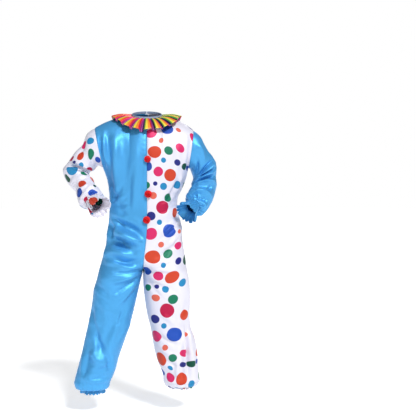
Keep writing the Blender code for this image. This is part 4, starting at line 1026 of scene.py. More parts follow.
def grid_normals(grid, closed=False):
    """Unit normals of a grid of points. A closed grid's last column meets its first."""
    if closed:
        around = np.roll(grid, -1, axis=1) - np.roll(grid, 1, axis=1)
    else:
        around = np.gradient(grid, axis=1)
    along = np.gradient(grid, axis=0)
    return unit(np.cross(around, along))


def half_normals(grid, crotch_row):
    """Normals that point out of the cloth, equal on both sides of the inseam and of the shoulder seam."""
    normals = grid_normals(grid)
    normals[:, PANEL_COLUMNS] = unit(normals[:, PANEL_COLUMNS - 1] + normals[:, PANEL_COLUMNS + 1])
    torso = slice(crotch_row + ABOVE_CROTCH, None)
    outward = grid[torso, PANEL_COLUMNS, 0] - grid[torso, 0, 0]
    if np.mean(normals[torso, PANEL_COLUMNS, 0] * outward) < 0:
        normals = -normals
    legs = slice(0, crotch_row)
    normals[legs, 0] = normals[legs, -1] = unit(normals[legs, 0] + normals[legs, -1])
    normals[crotch_row, 0] = normals[crotch_row, -1] = (0.0, 0.0, -1.0)
    for column in (0, -1):
        normals[crotch_row + 1 :, column, 0] = 0.0
        normals[crotch_row + 1 :, column] = unit(normals[crotch_row + 1 :, column])
    top = normals[-1]
    shoulder = unit(top + top[::-1])
    on_shoulder = slice(NECK_COLUMNS, 2 * PANEL_COLUMNS - NECK_COLUMNS + 1)
    normals[-1, on_shoulder] = shoulder[on_shoulder]
    return normals


def half_body(side):
    """One half's points, ankle elastic to shoulder, outward positive, with and without creases."""
    leg = np.linspace(HEM_Z, CROTCH_Z, LEG_ROWS + 1)
    rise = np.linspace(CROTCH_Z, RISE_Z, RISE_ROWS + 1)[1:]
    torso = np.linspace(RISE_Z, ARMPIT_Z, TORSO_ROWS + 1)[1:]
    rows = blouse_rows(side) + [body_rows(side, z) for z in (*leg, *rise, *torso)]
    front, back = yoke_panel(side, 1), yoke_panel(side, -1)
    for row in range(1, YOKE_ROWS + 1):
        rows.append(np.concatenate([front[row], back[row][::-1][1:]]))
    grid = np.stack(rows)
    crotch_row = BLOUSE_ROWS + LEG_ROWS
    yoke = slice(len(grid) - 1 - YOKE_ROWS, None)
    normals = half_normals(grid, crotch_row)
    from_first, from_side, from_last = (
        np.linalg.norm(grid - grid[:, column, None], axis=2) for column in (0, PANEL_COLUMNS, -1)
    )
    from_middle = np.minimum(from_first, from_last)
    from_top = ROW_STEP * np.arange(len(grid))[::-1, None]

    def away_from_seams(near, near_top):
        share = eased(from_middle / near) * eased(from_top / near_top)
        share[yoke] *= eased(from_side[yoke] / near)
        return share

    push = body_push(BODY_FOLDS, side, grid, fold, FOLD_TURN) * away_from_seams(SEAM_CALM, SEAM_CALM)
    creases = body_push(BODY_CREASES, side, grid, body_crease, CREASE_TURN)
    push += creases * away_from_seams(CREASE_CALM, CREASE_CALM_TOP)
    push += seam_dips(from_middle, from_side, side)
    turn = np.linspace(0.0, 2 * math.pi, grid.shape[1])[None, :]
    from_elastic = distances(grid[:, PANEL_COLUMNS // 2])[:, None]
    push += gathers(turn, from_elastic, ANKLE_GATHERS, ANKLE_SEED + side)
    return grid + normals * push[..., None], grid, crotch_row


def seam_dips(from_middle, from_side, side):
    """The cloth dips a little at its seams and puckers along them."""
    rows = np.arange(len(from_middle))[:, None]
    short, long = PUCKER_TURNS
    pucker = np.sin(rows * short + side) * np.sin(rows * long) * PUCKER
    push = 0.0
    for away in (from_middle, from_side):
        push = push - SEAM_DIP * bell(away, SEAM_DIP_WIDTH)
        push = push + pucker * bell(away - PUCKER_FROM_SEAM, PUCKER_WIDTH)
    return push


def degrees_from(degrees, centre):
    return (degrees - centre + 180.0) % 360.0 - 180.0


def sleeve_grid(side):
    """Points of a sleeve, from the armhole to the wrist elastic, outward positive."""
    table = np.array(SLEEVE_SECTIONS[side])
    share = np.linspace(0.0, 1.0, SLEEVE_ROWS + 1)
    read = flowing(share, np.linspace(0.0, 1.0, len(table)), table)
    outer, inner = read[:, [0, 4, 1]], read[:, [2, 4, 3]]
    middle, half = (outer + inner) / 2, (outer - inner) / 2
    window = round(SLEEVE_ROWS * SLEEVE_HEADING / 2)
    index = np.arange(SLEEVE_ROWS + 1)
    ahead, behind = np.minimum(index + window, SLEEVE_ROWS), np.maximum(index - window, 0)
    forward = unit(np.cross(unit(middle[ahead] - middle[behind]), unit(half)))
    turning = eased(share / SLEEVE_TURN)[:, None]
    forward = np.array([0.0, -1.0, 0.0]) * (1 - turning) + forward * turning
    forward = unit(forward) * read[:, 5:6]
    turn = np.linspace(0.0, 2 * math.pi, 2 * YOKE_ROWS, endpoint=False)[None, :]
    cosine, sine = np.cos(turn)[..., None], np.sin(turn)[..., None]
    grid = middle[:, None] + half[:, None] * cosine + forward[:, None] * sine
    normals = outward_normals(grid, middle)

    share, degrees = share[:, None], np.degrees(turn)
    length = float(distances(middle)[-1])
    radius = float(read[:, 5].mean())
    push, fine = np.zeros((2, *grid.shape[:2]))
    for at, centre, along, round_width, reach in SLEEVE_FOLDS[side]:
        push += reach * bell(share - at, along) * bell(degrees_from(degrees, centre), round_width)
    start, end = SLEEVE_FOLD_ENDS
    push *= eased(share / start) * eased((1.0 - share) / end)
    for s0, a0, s1, a1, width, reach in SLEEVE_CREASES[side]:
        centre = (a0 + a1) / 2
        first, last = (math.radians(a - centre) * radius for a in (a0, a1))
        across = np.radians(degrees_from(degrees, centre)) * radius
        line = (first, s0 * length, last, s1 * length)
        fine += crease(across, share * length, *line, width, reach, SLEEVE_BOW)
    from_seam, from_elastic = share * length, (1.0 - share) * length
    start, end = SLEEVE_CREASE_ENDS
    push += fine * eased(from_seam / start) * eased((1.0 - share) / end)
    push += gathers(turn, from_elastic, WRIST_GATHERS[side], WRIST_SEED + side)
    on_top = np.clip(np.cos(turn), 0, 1)
    push += gathers(turn, from_seam, HEAD_GATHERS, HEAD_SEED + side, at_seam=0.0) * on_top
    push -= SEAM_DIP * bell(from_seam, SEAM_DIP_WIDTH)
    from_underarm = np.radians(degrees - 180.0) * radius
    push -= UNDERARM_DIP * SEAM_DIP * bell(from_underarm, SEAM_DIP_WIDTH)
    return grid + normals * push[..., None]


def outward_normals(grid, middle):
    normals = grid_normals(grid, closed=True)
    if np.mean(np.sum(normals * (grid - middle[:, None]), axis=2)) < 0:
        normals = -normals
    return normals


def to_world(side, vectors):
    return vectors * np.array([side, 1.0, 1.0])


def lengths_along(grid, axis):
    """Distance along each row or column of a grid from its first point."""
    steps = np.linalg.norm(np.diff(grid, axis=axis), axis=2)
    start = np.zeros((1, grid.shape[1])) if axis == 0 else np.zeros((grid.shape[0], 1))
    return np.concatenate([start, np.cumsum(steps, axis=axis)], axis=axis)


def linked(name, data):
    """A new object in the scene."""
    made = bpy.data.objects.new(name, data)
    bpy.context.scene.collection.objects.link(made)
    return made


def cloth_shell(name, grid, uv, cloth, closed=False, thickness=CLOTH):
    """A thin shell of cloth on a grid of points, with cut-cloth coordinates in metres."""
    rows, columns = grid.shape[:2]
    faces, corners = [], []
    for row in range(rows - 1):
        for column in range(columns if closed else columns - 1):
            a, b = row * columns + column, row * columns + (column + 1) % columns
            faces.append((a, b, b + columns, a + columns))
            right, up = column + 1, row + 1
            corners.extend(((row, column), (row, right), (up, right), (up, column)))
    mesh = bpy.data.meshes.new(name)
    mesh.from_pydata([tuple(p) for p in grid.reshape(-1, 3)], [], faces)
    layer = mesh.uv_layers.new(name="cut")
    flat = np.array([uv[corner] for corner in corners], np.float32)
    layer.data.foreach_set("uv", flat.ravel())
    work = bmesh.new()
    work.from_mesh(mesh)
    bmesh.ops.recalc_face_normals(work, faces=work.faces)
    work.to_mesh(mesh)
    work.free()
    mesh.shade_smooth()
    mesh.materials.append(cloth)
    made = linked(name, mesh)
    wall = made.modifiers.new("wall", "SOLIDIFY")
    wall.thickness = thickness
    wall.offset = 0.0
    return made


def apply_modifiers(piece):
    """Applies a piece's modifiers to its mesh."""
    evaluated = piece.evaluated_get(bpy.context.evaluated_depsgraph_get())
    mesh = bpy.data.meshes.new_from_object(evaluated)
    piece.modifiers.clear()
    piece.data = mesh


def fill(node, values):
    """Sets constants on a node's own sockets."""
    for socket, value in values.items():
        node.inputs[socket].default_value = value


def node_material(name, roughness, specular=0.5, metallic=0.0):
    made = bpy.data.materials.new(name)
    made.use_nodes = True
    tree = made.node_tree
    shader = tree.nodes["Principled BSDF"]
    fill(shader, {"Roughness": roughness, "Specular IOR Level": specular, "Metallic": metallic})
    return made, tree, shader


def math_node(tree, operation, first, second=None, third=None, clamp=False):
    node = tree.nodes.new("ShaderNodeMath")
    node.operation = operation
    node.use_clamp = clamp
    for index, value in enumerate((first, second, third)):
        if value is None:
            continue
        if isinstance(value, (int, float)):
            node.inputs[index].default_value = value
        else:
            tree.links.new(value, node.inputs[index])
    return node.outputs[0]


def mix_colour(tree, factor, first, second, mode="MIX"):
    node = tree.nodes.new("ShaderNodeMix")
    node.data_type = "RGBA"
    node.blend_type = mode
    for index, value in ((0, factor), (6, first), (7, second)):
        if isinstance(value, (int, float)):
            node.inputs[index].default_value = value
        elif isinstance(value, tuple):
            node.inputs[index].default_value = (*value, 1.0)
        else:
            tree.links.new(value, node.inputs[index])
    return node.outputs[2]


def noise(tree, vector, scale, detail):
    node = tree.nodes.new("ShaderNodeTexNoise")
    fill(node, {"Scale": scale, "Detail": detail})
    tree.links.new(vector, node.inputs["Vector"])
    return node.outputs["Fac"]


def speckled(tree, colour, vector, scale, detail, spread, darkest):
    """A colour that drifts between darker and lighter."""
    drift = noise(tree, vector, scale, detail)
    shade = math_node(tree, "MULTIPLY_ADD", drift, spread, darkest)
    grey = tree.nodes.new("ShaderNodeCombineColor")
    for index in range(3):
        tree.links.new(shade, grey.inputs[index])
    return mix_colour(tree, 1.0, colour, grey.outputs[0], "MULTIPLY")


def bump(tree, height, strength, distance, below=None):
    node = tree.nodes.new("ShaderNodeBump")
    fill(node, {"Strength": strength, "Distance": distance})
    tree.links.new(height, node.inputs["Height"])
    if below is not None:
        tree.links.new(below, node.inputs["Normal"])
    return node.outputs[0]


def cut_place(tree):
    """The cut-cloth coordinates, and their two parts in metres."""
    place = tree.nodes.new("ShaderNodeUVMap")
    place.uv_map = "cut"
    parts = tree.nodes.new("ShaderNodeSeparateXYZ")
    tree.links.new(place.outputs[0], parts.inputs[0])
    return place.outputs[0], parts.outputs[0], parts.outputs[1]


def object_place(tree):
    return tree.nodes.new("ShaderNodeTexCoord").outputs["Object"]


def weave_height(tree, u, v, pitch):
    """The height of a satin's floats: long warp threads that dip where the weft crosses."""
    warp = math_node(tree, "SINE", math_node(tree, "MULTIPLY", u, 2 * math.pi / pitch))
    weft = math_node(tree, "SINE", math_node(tree, "MULTIPLY", v, 2 * math.pi / (pitch * 2.6)))
    return math_node(tree, "ADD", warp, math_node(tree, "MULTIPLY", weft, 0.6))


def cloth_finish(tree, shader, colour, crumple, sheen, sheen_tint, weave=SATIN_WEAVE):
    """Colour variation, weave and fine crumples shared by all the cloths."""
    uv, u, v = cut_place(tree)
    tree.links.new(speckled(tree, colour, uv, *CLOTH_DRIFT), shader.inputs["Base Color"])
    fine = bump(tree, weave_height(tree, u, v, weave), *WEAVE_BUMP)
    stretched = tree.nodes.new("ShaderNodeMapping")
    fill(stretched, {"Scale": CRUMPLE_STRETCH})
    tree.links.new(uv, stretched.inputs["Vector"])
    crumples = noise(tree, stretched.outputs[0], *CRUMPLE_NOISE)
    tree.links.new(bump(tree, crumples, crumple, CRUMPLE_DEPTH, fine), shader.inputs["Normal"])
    tint = (*sheen_tint, 1.0)
    fill(shader, {"Sheen Weight": sheen, "Sheen Roughness": SHEEN_ROUGHNESS, "Sheen Tint": tint})


def blue_satin():
    made, tree, shader = node_material("blue_satin", 0.46, 0.38, 0.42)
    fill(shader, {"Specular Tint": (0.78, 0.84, 1.0, 1.0)})
    cloth_finish(tree, shader, BLUE, 0.35, 0.04, (0.55, 0.80, 1.0))
    return made


def dotted_satin(name, dots, repeat):
    """White satin with a chart of dots and its repeat."""
    made, tree, shader = node_material(name, 0.46, 0.30, 0.12)
    _, u, v = cut_place(tree)
    colour = WHITE

    def away_from(place, centre, size):
        return math_node(tree, "WRAP", math_node(tree, "SUBTRACT", place, centre), size / 2, -size / 2)

    for word, across, up, radius in dots:
        off_u, off_v = away_from(u, across, repeat[0]), away_from(v, up, repeat[1])
        square = math_node(tree, "MULTIPLY", off_v, off_v)
        away = math_node(tree, "SQRT", math_node(tree, "MULTIPLY_ADD", off_u, off_u, square))
        start = radius / DOT_EDGE + 0.5
        edge = math_node(tree, "MULTIPLY_ADD", away, -1 / DOT_EDGE, start, clamp=True)
        colour = mix_colour(tree, edge, colour, DOT_COLOURS[word])
    cloth_finish(tree, shader, colour, 0.35, 0.03, (0.95, 0.93, 1.0))
    return made


def rainbow_satin(length, runs):
    """Rainbow stripes across a strip, one run to a flute, with the print's dark stripes set into its
    valleys, where they also serve as painted shade.
    """
    made, tree, shader = node_material("rainbow_stripe", 0.42, 0.35, 0.25)
    _, u, _ = cut_place(tree)
    # The run is locked to the flutes so that the dark stripes lie in the valleys, painted shade on top of
    # the print.
    place = math_node(tree, "MULTIPLY_ADD", u, runs / length, STRIPE_AT_CREST + runs / 2)
    ramp = tree.nodes.new("ShaderNodeValToRGB")
    tree.links.new(math_node(tree, "FRACT", place), ramp.inputs[0])
    stops = ramp.color_ramp.elements
    while len(stops) > 1:
        stops.remove(stops[-1])
    stops[0].position = 0.0
    stops[0].color = (*RAINBOW[0], 1.0)
    for index, colour in enumerate(RAINBOW):
        for share in STRIPE_FLAT:
            stops.new((index + share) / len(RAINBOW)).color = (*colour, 1.0)
    stops.new(1.0).color = (*RAINBOW[0], 1.0)
    cloth_finish(tree, shader, ramp.outputs[0], 0.2, 0.03, (1.0, 0.9, 0.9))
    return made


def plain_cloth(name, colour, roughness, weave):
    made, tree, shader = node_material(name, roughness, 0.3)
    cloth_finish(tree, shader, colour, 0.2, 0.15, (0.9, 0.9, 1.0), weave)
    return made


def strand_material(name, colour, roughness, specular, speckle, sheen):
    """Thread or yarn. The speckle is its scale, detail, spread and darkest value."""
    made, tree, shader = node_material(name, roughness, specular)
    tree.links.new(speckled(tree, colour, object_place(tree), *speckle), shader.inputs["Base Color"])
    fill(shader, {"Sheen Weight": sheen})
    return made, shader


def thread_material(name, colour):
    return strand_material(name, colour, 0.55, 0.35, THREAD_SPECKLE, 0.3)[0]


def yarn_material():
    made, shader = strand_material("red_yarn", YARN_COLOUR, 0.75, 0.25, YARN_SPECKLE, 0.5)
    fill(shader, {"Sheen Tint": (1.0, 0.35, 0.35, 1.0)})
    return made


def metal_material():
    made, tree, shader = node_material("zip_metal", 0.32, metallic=1.0)
    worn = noise(tree, object_place(tree), 900.0, 4.0)
    tree.links.new(mix_colour(tree, worn, METAL_COLOUR, WORN_METAL), shader.inputs["Base Color"])
    tree.links.new(bump(tree, worn, 0.2, 0.0001), shader.inputs["Normal"])
    return made


def panel_uv(panel, crotch_row, flip):
    """Cut-cloth coordinates of a panel before its creases: across from the middle seam, and height.

    Below the rise the print hangs from the panel's own middle, so the crotch's cloth lies inside it.
    """
    across = lengths_along(panel, 1)
    middle = PANEL_COLUMNS // 2
    along = lengths_along(panel, 0)[:, middle]
    height = panel[:, middle, 2].copy()
    height[:BLOUSE_ROWS] = height[BLOUSE_ROWS] - (along[BLOUSE_ROWS] - along[:BLOUSE_ROWS])
    hang = np.array(PRINT_HANG)
    slip, line, tilt, draw = flowing(height, hang[:, 0], hang[:, 1:]).T
    yoke_row = len(panel) - 1 - YOKE_ROWS
    height[yoke_row:] = height[yoke_row] + along[yoke_row:] - along[yoke_row]
    hold = crotch_row + 2 * RISE_ROWS
    hanging = eased((hold - np.arange(len(panel))) / (2 * RISE_ROWS))
    start = (panel[:, middle, 0] - line - across[:, middle]) * hanging
    u = across + start[:, None]
    v = (height + slip)[:, None] - tilt[:, None] * np.maximum(u - PULL_FROM, 0.0)
    inner, outer = DRAW_OUTSIDE
    u = u + draw[:, None] * (np.maximum(inner - u, 0.0) - np.maximum(u - outer, 0.0))
    return np.stack([u * flip, v], axis=2)


def sleeve_uv(sleeve):
    """Cut-cloth coordinates of a sleeve: round from the middle of its front, and down from the armhole."""
    around = lengths_along(sleeve, 1)
    last = around[:, -1:] + np.linalg.norm(sleeve[:, :1] - sleeve[:, -1:], axis=2)
    around = np.concatenate([around, last], axis=1)
    front = slice(3 * YOKE_ROWS // 2, 3 * YOKE_ROWS // 2 + 1)
    down = lengths_along(sleeve, 0)[:, front] * np.ones((1, around.shape[1]))
    return np.stack([around - around[:, front], -down], axis=2)


def make_body(cloths):
    """The four panels and two sleeves: each piece with its points in world terms and its coordinates."""
    surfaces = {}
    steps = np.arange(YOKE_ROWS + 1)
    for side in (RIGHT, LEFT):
        grid, plain, crotch_row = half_body(side)
        sleeve = sleeve_grid(side)
        yoke_row = len(grid) - 1 - YOKE_ROWS
        front, flat_front = grid[:, : PANEL_COLUMNS + 1].copy(), plain[:, : PANEL_COLUMNS + 1]
        back, flat_back = grid[:, PANEL_COLUMNS:][:, ::-1].copy(), plain[:, PANEL_COLUMNS:][:, ::-1]
        front[yoke_row:, -1] = sleeve[0, YOKE_ROWS - steps]
        back[yoke_row:, -1] = sleeve[0, (YOKE_ROWS + steps) % (2 * YOKE_ROWS)]
        open_for_zip(back)
        for label, panel, flat, flip in (("front", front, flat_front, 1.0), ("back", back, flat_back, -1.0)):
            name = f"{label}_{WORDS[side]}"
            world = to_world(side, panel)
            uv = panel_uv(flat, crotch_row, flip)
            surfaces[name] = (cloth_shell(f"{name}_cloth", world, uv, cloths[BODY_CLOTH[side]]), world, uv)
        turned = np.roll(sleeve, -YOKE_ROWS, axis=1)
        name, uv = f"sleeve_{WORDS[side]}", sleeve_uv(turned)
        cloth = cloths[SLEEVE_CLOTH[side]]
        piece = cloth_shell(f"{name}_cloth", to_world(side, turned), uv, cloth, closed=True)
        surfaces[name] = (piece, to_world(side, sleeve), uv)
    return surfaces


def open_for_zip(back):
    """Moves a back panel's middle edge aside for the zip."""
    lengths = lengths_along(back, 1)
    closing = eased((back[:, :1, 2] - ZIP_BOTTOM_Z) / ZIP_END_TAPER)
    aside = ZIP_HALF_OPENING * closing * np.exp(-lengths / ZIP_SHIFT_FADE)
    back[..., 0] += np.where(lengths < ZIP_SHIFT_END, aside, 0.0)


def frill(name, ring, end, edge_radius, waves, cloth, seed, print_top):
    """A gathered frill: snug inside the elastic's ring, waved and flared at its free edge."""
    start = ring.mean(axis=0)
    columns = 2 * len(ring)
    snug = np.empty((columns, 3))
    snug[0::2] = ring - start
    snug[1::2] = (ring + np.roll(ring, -1, axis=0)) / 2 - start
    snug = snug - unit(snug) * FRILL_INSET
    axis = unit(end - start)
    out, forward = ring[0] - start, ring[len(ring) // 4] - start
    edge_out = unit(out - axis * (out @ axis))
    edge_forward = unit(forward - axis * (forward @ axis) - edge_out * (forward @ edge_out))
    turn = np.linspace(0.0, 2 * math.pi, columns, endpoint=False)[:, None]
    chance = np.random.default_rng(seed)
    uneven = turn
    for count, size in FRILL_WANDER:
        uneven = uneven + size * np.sin(count * turn + chance.uniform(0, 6))
    swing = np.sin(waves * uneven)
    wave = np.sign(swing) * np.abs(swing) ** FRILL_WAVE_FLATNESS
    mean, spread = FRILL_VARIETY
    variety = mean + spread * np.sin(2 * turn + seed)
    edge = (edge_out * np.cos(turn) + edge_forward * np.sin(turn)) * edge_radius
    early, swell = FRILL_FLARE
    rows = []
    for share in np.linspace(0.0, 1.0, FRILL_ROWS + 1):
        along = share - FRILL_OVERLAP * (1 - share)
        flare = eased(share * early) * swell if share < 1 else 1.0
        spoke = snug * (1 - flare) + edge * flare
        depth = FRILL_WAVE_DEPTH * (FRILL_ROOT_WAVE + (1 - FRILL_ROOT_WAVE) * share) * variety
        tight = FRILL_TIGHT_DEPTH * np.sin(3 * waves * uneven) * (1 - share)
        curl = FRILL_CURL * share**3 * np.cos(2 * waves * uneven)
        middle = start + (end - start) * along + axis * curl
        rows.append(middle + spoke + unit(spoke) * (wave * depth + tight))
    grid = np.stack(rows)
    around = lengths_along(grid, 1)[-1:] * np.ones((len(grid), 1))
    around = np.concatenate([around, around[:, -1:] * (1 + 1 / (columns - 1))], axis=1)
    around = around - around[:, columns // 4 : columns // 4 + 1]
    down = lengths_along(grid, 0)[:, :1] * np.ones((1, around.shape[1]))
    uv = np.stack([around, print_top - down], axis=2)
    return cloth_shell(name, grid, uv, cloth, closed=True, thickness=FRILL_CLOTH), grid


def make_frills(pieces, cloths):
    """The four frills, each with its points: the ankle's hangs down, the wrist's follows the hand."""
    made = {}
    for side in (RIGHT, LEFT):
        word = WORDS[side]
        ankle = to_world(side, ankle_ring(side, ANKLE_RING_POINTS))
        ankle_end = ankle.mean(axis=0) - np.array([0.0, 0.0, ANKLE_FRILL_DROP[side]])
        out, y, height, edge_radius = WRIST_FRILL[side]
        _, sleeve, sleeve_cut = pieces[f"sleeve_{word}"]
        wrist_end = np.array([side * out, y, height])
        leg = (ANKLE_WAVES, cloths[BODY_CLOTH[side]], ANKLE_FRILL_SEED + side, ANKLE_FRILL_PRINT)
        arm = (WRIST_WAVES, cloths[SLEEVE_CLOTH[side]], WRIST_FRILL_SEED + side, float(sleeve_cut[-1, 0, 1]))
        for name, ring, end, radius, rest in (
            (f"ankle_frill_{word}", ankle, ankle_end, ANKLE_FRILL_RADIUS, leg),
            (f"wrist_frill_{word}", sleeve[-1], wrist_end, edge_radius, arm),
        ):
            made[name] = frill(f"{name}_cloth", ring, end, radius, *rest)
    return made


def surface_tree(surfaces):
    """One searchable surface of several grids."""
    points, faces = [], []
    for grid in surfaces:
        rows, columns = grid.shape[:2]
        first = len(points)
        points.extend(Vector(p) for p in grid.reshape(-1, 3))
        for row, column in np.ndindex(rows - 1, columns - 1):
            a = first + row * columns + column
            faces.append((a, a + 1, a + columns + 1, a + columns))
    return BVHTree.FromPolygons(points, faces)


def collar_edge(angle):
    """The collar's free edge before its flutes."""
    sine, cosine = np.sin(angle), np.cos(angle)
    reach = np.where(cosine > 0, COLLAR_FRONT, COLLAR_BACK)
    drop = np.where(cosine > 0, COLLAR_FRONT_Z, COLLAR_BACK_Z)
    height = COLLAR_SIDE_Z * sine**2 + drop * cosine**2
    return np.stack([COLLAR_HALF_WIDTH * sine, NECK_Y - reach * cosine, height], axis=-1)


def make_collar(tree):
    """The collar: broad rounded flutes that overhang narrow valleys, uneven in width and depth."""
    columns = COLLAR_FLUTES * FLUTE_COLUMNS
    share = np.arange(columns + 1) / columns
    uneven = share + wander(share, FLUTE_WANDER)
    phase = uneven * COLLAR_FLUTES * 2 * math.pi
    broad = 1.0 - 2.0 * (0.5 - 0.5 * np.cos(phase)) ** COLLAR_FLUTE_BREADTH
    angle = math.pi + BACK_SPLIT_ANGLE + share * 2 * (math.pi - BACK_SPLIT_ANGLE)
    inner = neck_ring(angle)
    set_up = np.array([0.0, 0.0, COLLAR_SET_UP])
    inner = inner + from_neck(inner) * COLLAR_SET_OUT + set_up
    edge = collar_edge(angle)
    reach = 1.0 + wander(share, REACH_WANDER)
    steps = np.linspace(0.0, 1.0, COLLAR_ROWS + 1)[:, None]
    base = inner[None] + (edge - inner)[None] * (steps * reach)[..., None]
    base[..., 2] += np.sin(math.pi * steps) * COLLAR_BOW
    normals = grid_normals(base)
    if normals[..., 2].mean() < 0:
        normals = -normals
    variety = MEAN_DEPTH + wander(share, DEPTH_WANDER)
    growth = COLLAR_ROOT_WAVE + (1 - COLLAR_ROOT_WAVE) * steps**COLLAR_FLUTE_GROWTH
    grid = base + normals * (broad * COLLAR_FLUTE_DEPTH * growth * variety)[..., None]
    along = np.gradient(base, axis=1) * FLUTE_COLUMNS
    grid = grid + along * (COLLAR_OVERHANG * np.sin(phase) * broad * steps)[..., None]
    moved = lift_off(tree, grid, COLLAR_CLEARANCE) - grid
    for _ in range(COLLAR_SMOOTHING):
        wide = np.pad(moved, ((0, 0), (1, 1), (0, 0)), mode="edge")
        moved = (wide[:, :-2] + 2 * moved + wide[:, 2:]) / 4
    grid = lift_off(tree, grid + moved, SMOOTHED_CLEARANCE)
    around = uneven * lengths_along(grid, 1)[-1, -1] * np.ones((len(grid), 1))
    down = lengths_along(grid, 0)[:, :1] * np.ones((1, columns + 1))
    cloth = rainbow_satin(float(around[0, -1]), COLLAR_FLUTES)
    return cloth_shell("collar_cloth", grid, np.stack([around, -down], axis=2), cloth), grid


def lift_off(tree, grid, clearance):
    """The grid with all but its first two rows lifted off the cloth below."""
    lifted_grid = grid.copy()
    for index in np.ndindex(grid.shape[:2]):
        if index[0] > 1:
            lifted_grid[index] = lifted(tree, grid[index], clearance)
    return lifted_grid


def lifted(tree, point, clearance):
    """The point, moved out along the cloth's normal if it is closer to the cloth than the clearance."""
    place, normal, _, _ = tree.find_nearest(Vector(point))
    outward = Vector((place.x, place.y - NECK_Y, CLEARANCE_RISE))
    if normal.dot(outward) < 0:
        normal = -normal
    height = (Vector(point) - place).dot(normal)
    if height >= clearance:
        return point
    return np.array(Vector(point) + normal * (clearance - height))


def make_neck_band(cloth):
    """The binding that stands on the neck seam, rolled over at its top."""
    angle = np.linspace(math.pi + BAND_SPLIT_ANGLE, 3 * math.pi - BAND_SPLIT_ANGLE, BAND_COLUMNS + 1)
    base = neck_ring(angle)
    outward = from_neck(base)
    waves, depth = BAND_WOBBLE
    wobble = depth * np.sin(angle * waves)[:, None] * outward
    top, rise = BAND_HEIGHT - BAND_HALF, BAND_HEIGHT - BAND_HALF - BAND_BASE
    rows = []
    for turn in np.linspace(0.0, 1.0, BAND_ROWS + 1):
        if turn < BAND_FACE:
            up, out = BAND_BASE + rise * turn / BAND_FACE, BAND_HALF
        elif turn < 1 - BAND_FACE:
            bend = (turn - BAND_FACE) / (1 - 2 * BAND_FACE) * math.pi
            up, out = top + BAND_HALF * math.sin(bend), BAND_HALF * math.cos(bend)
        else:
            up, out = top - rise * (turn - 1 + BAND_FACE) / BAND_FACE, -BAND_HALF
        lean = BAND_LEAN * up / BAND_HEIGHT
        rows.append(base + outward * (out + lean) + wobble + np.array([0.0, 0.0, up]))
    grid = np.stack(rows)
    uv = np.stack([lengths_along(grid, 1), lengths_along(grid, 0)], axis=2)
    return cloth_shell("neck_band_cloth", grid, uv, cloth, thickness=BAND_CLOTH), grid


def strands(name, roots, tips, bends, radius, cloth, sides=3, steps=3):
    """Many tapered strands in one mesh, each from a root through a bent middle to a tip."""
    direction = unit(tips - roots)
    helper = np.where(np.abs(direction[:, 2:3]) < 0.9, [[0.0, 0.0, 1.0]], [[1.0, 0.0, 0.0]])
    first = unit(np.cross(direction, helper))
    second = np.cross(direction, first)
    points = []
    for step in range(steps + 1):
        share = step / steps
        centre = roots + (tips - roots) * share + bends * 4 * share * (1 - share)
        size = radius * (1.0 - STRAND_TAPER * share)
        for corner in range(sides):
            turn = 2 * math.pi * corner / sides
            points.append(centre + (first * math.cos(turn) + second * math.sin(turn)) * size)
    points = np.stack(points, axis=1)
    faces = []
    for base in range(0, len(roots) * len(points[0]), len(points[0])):
        for ring in range(base, base + steps * sides, sides):
            for corner in range(sides):
                a, b = ring + corner, ring + (corner + 1) % sides
                faces.append((a, b, b + sides, a + sides))
        faces.append(tuple(base + steps * sides + corner for corner in range(sides)))
        faces.append(tuple(base + corner for corner in reversed(range(sides))))
    mesh = bpy.data.meshes.new(name)
    mesh.from_pydata([tuple(p) for p in points.reshape(-1, 3)], [], faces)
    mesh.shade_smooth()
    mesh.materials.append(cloth)
    made = linked(name, mesh)
    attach(made, "garment")
    return made


def make_pompom(number, yarn):
    """A cut-yarn pompom: strands from one core, trimmed to an uneven ball, flat at the seam."""
    low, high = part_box(f"pompom_{number}")
    radius = POMPOM_RADII[number - 1]
    centre = np.array([(low.x + high.x) / 2, low.y + radius, (low.z + high.z) / 2])
    chance = np.random.default_rng(POMPOM_SEED + number)
    index = np.arange(YARNS_EACH) + 0.5
    polar = np.arccos(1 - 2 * index / YARNS_EACH)
    turn = math.pi * (1 + 5**0.5) * index
    around = np.sin(polar)
    spokes = np.stack([np.cos(turn) * around, np.cos(polar), np.sin(turn) * around], axis=1)
    spokes = unit(spokes + chance.normal(0, YARN_STRAY, spokes.shape))
    tips = centre + spokes * (radius * chance.uniform(*YARN_REACH, (YARNS_EACH, 1)))
    tips[:, 1] = np.minimum(tips[:, 1], high.y - POMPOM_BACK_GAP)
    roots = centre + spokes * radius * YARN_CORE
    bends = chance.normal(0, radius * YARN_BEND, (YARNS_EACH, 3))
    bends[:, 2] -= radius * YARN_SAG
    made = strands(f"pompom_{number}_yarn", roots, tips, bends, YARN_RADIUS, yarn)
    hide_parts(f"pompom_{number}")


def stitches(name, line, normals, thread, size=STITCH, lift=STITCH_LIFT):
    """A row of real stitches along a line of points on the cloth."""
    length, gap = size
    along = distances(line)
    starts = np.arange(int(along[-1] / (length + gap))) * (length + gap) + gap / 2
    up = unit(read_line(starts + length / 2, along, normals))
    roots = read_line(starts, along, line) + up * lift
    tips = read_line(starts + length, along, line) + up * lift
    strands(name, roots, tips, up * THREAD_RADIUS * THREAD_ARCH, THREAD_RADIUS, thread, sides=4)


def ring_stitches(name, grid, row, thread):
    """Stitches round one row of a closed grid, on its outer face."""
    normals = outward_normals(grid, grid.mean(axis=1))
    order = np.append(np.arange(grid.shape[1]), 0)
    stitches(name, grid[row, order], normals[row, order], thread)


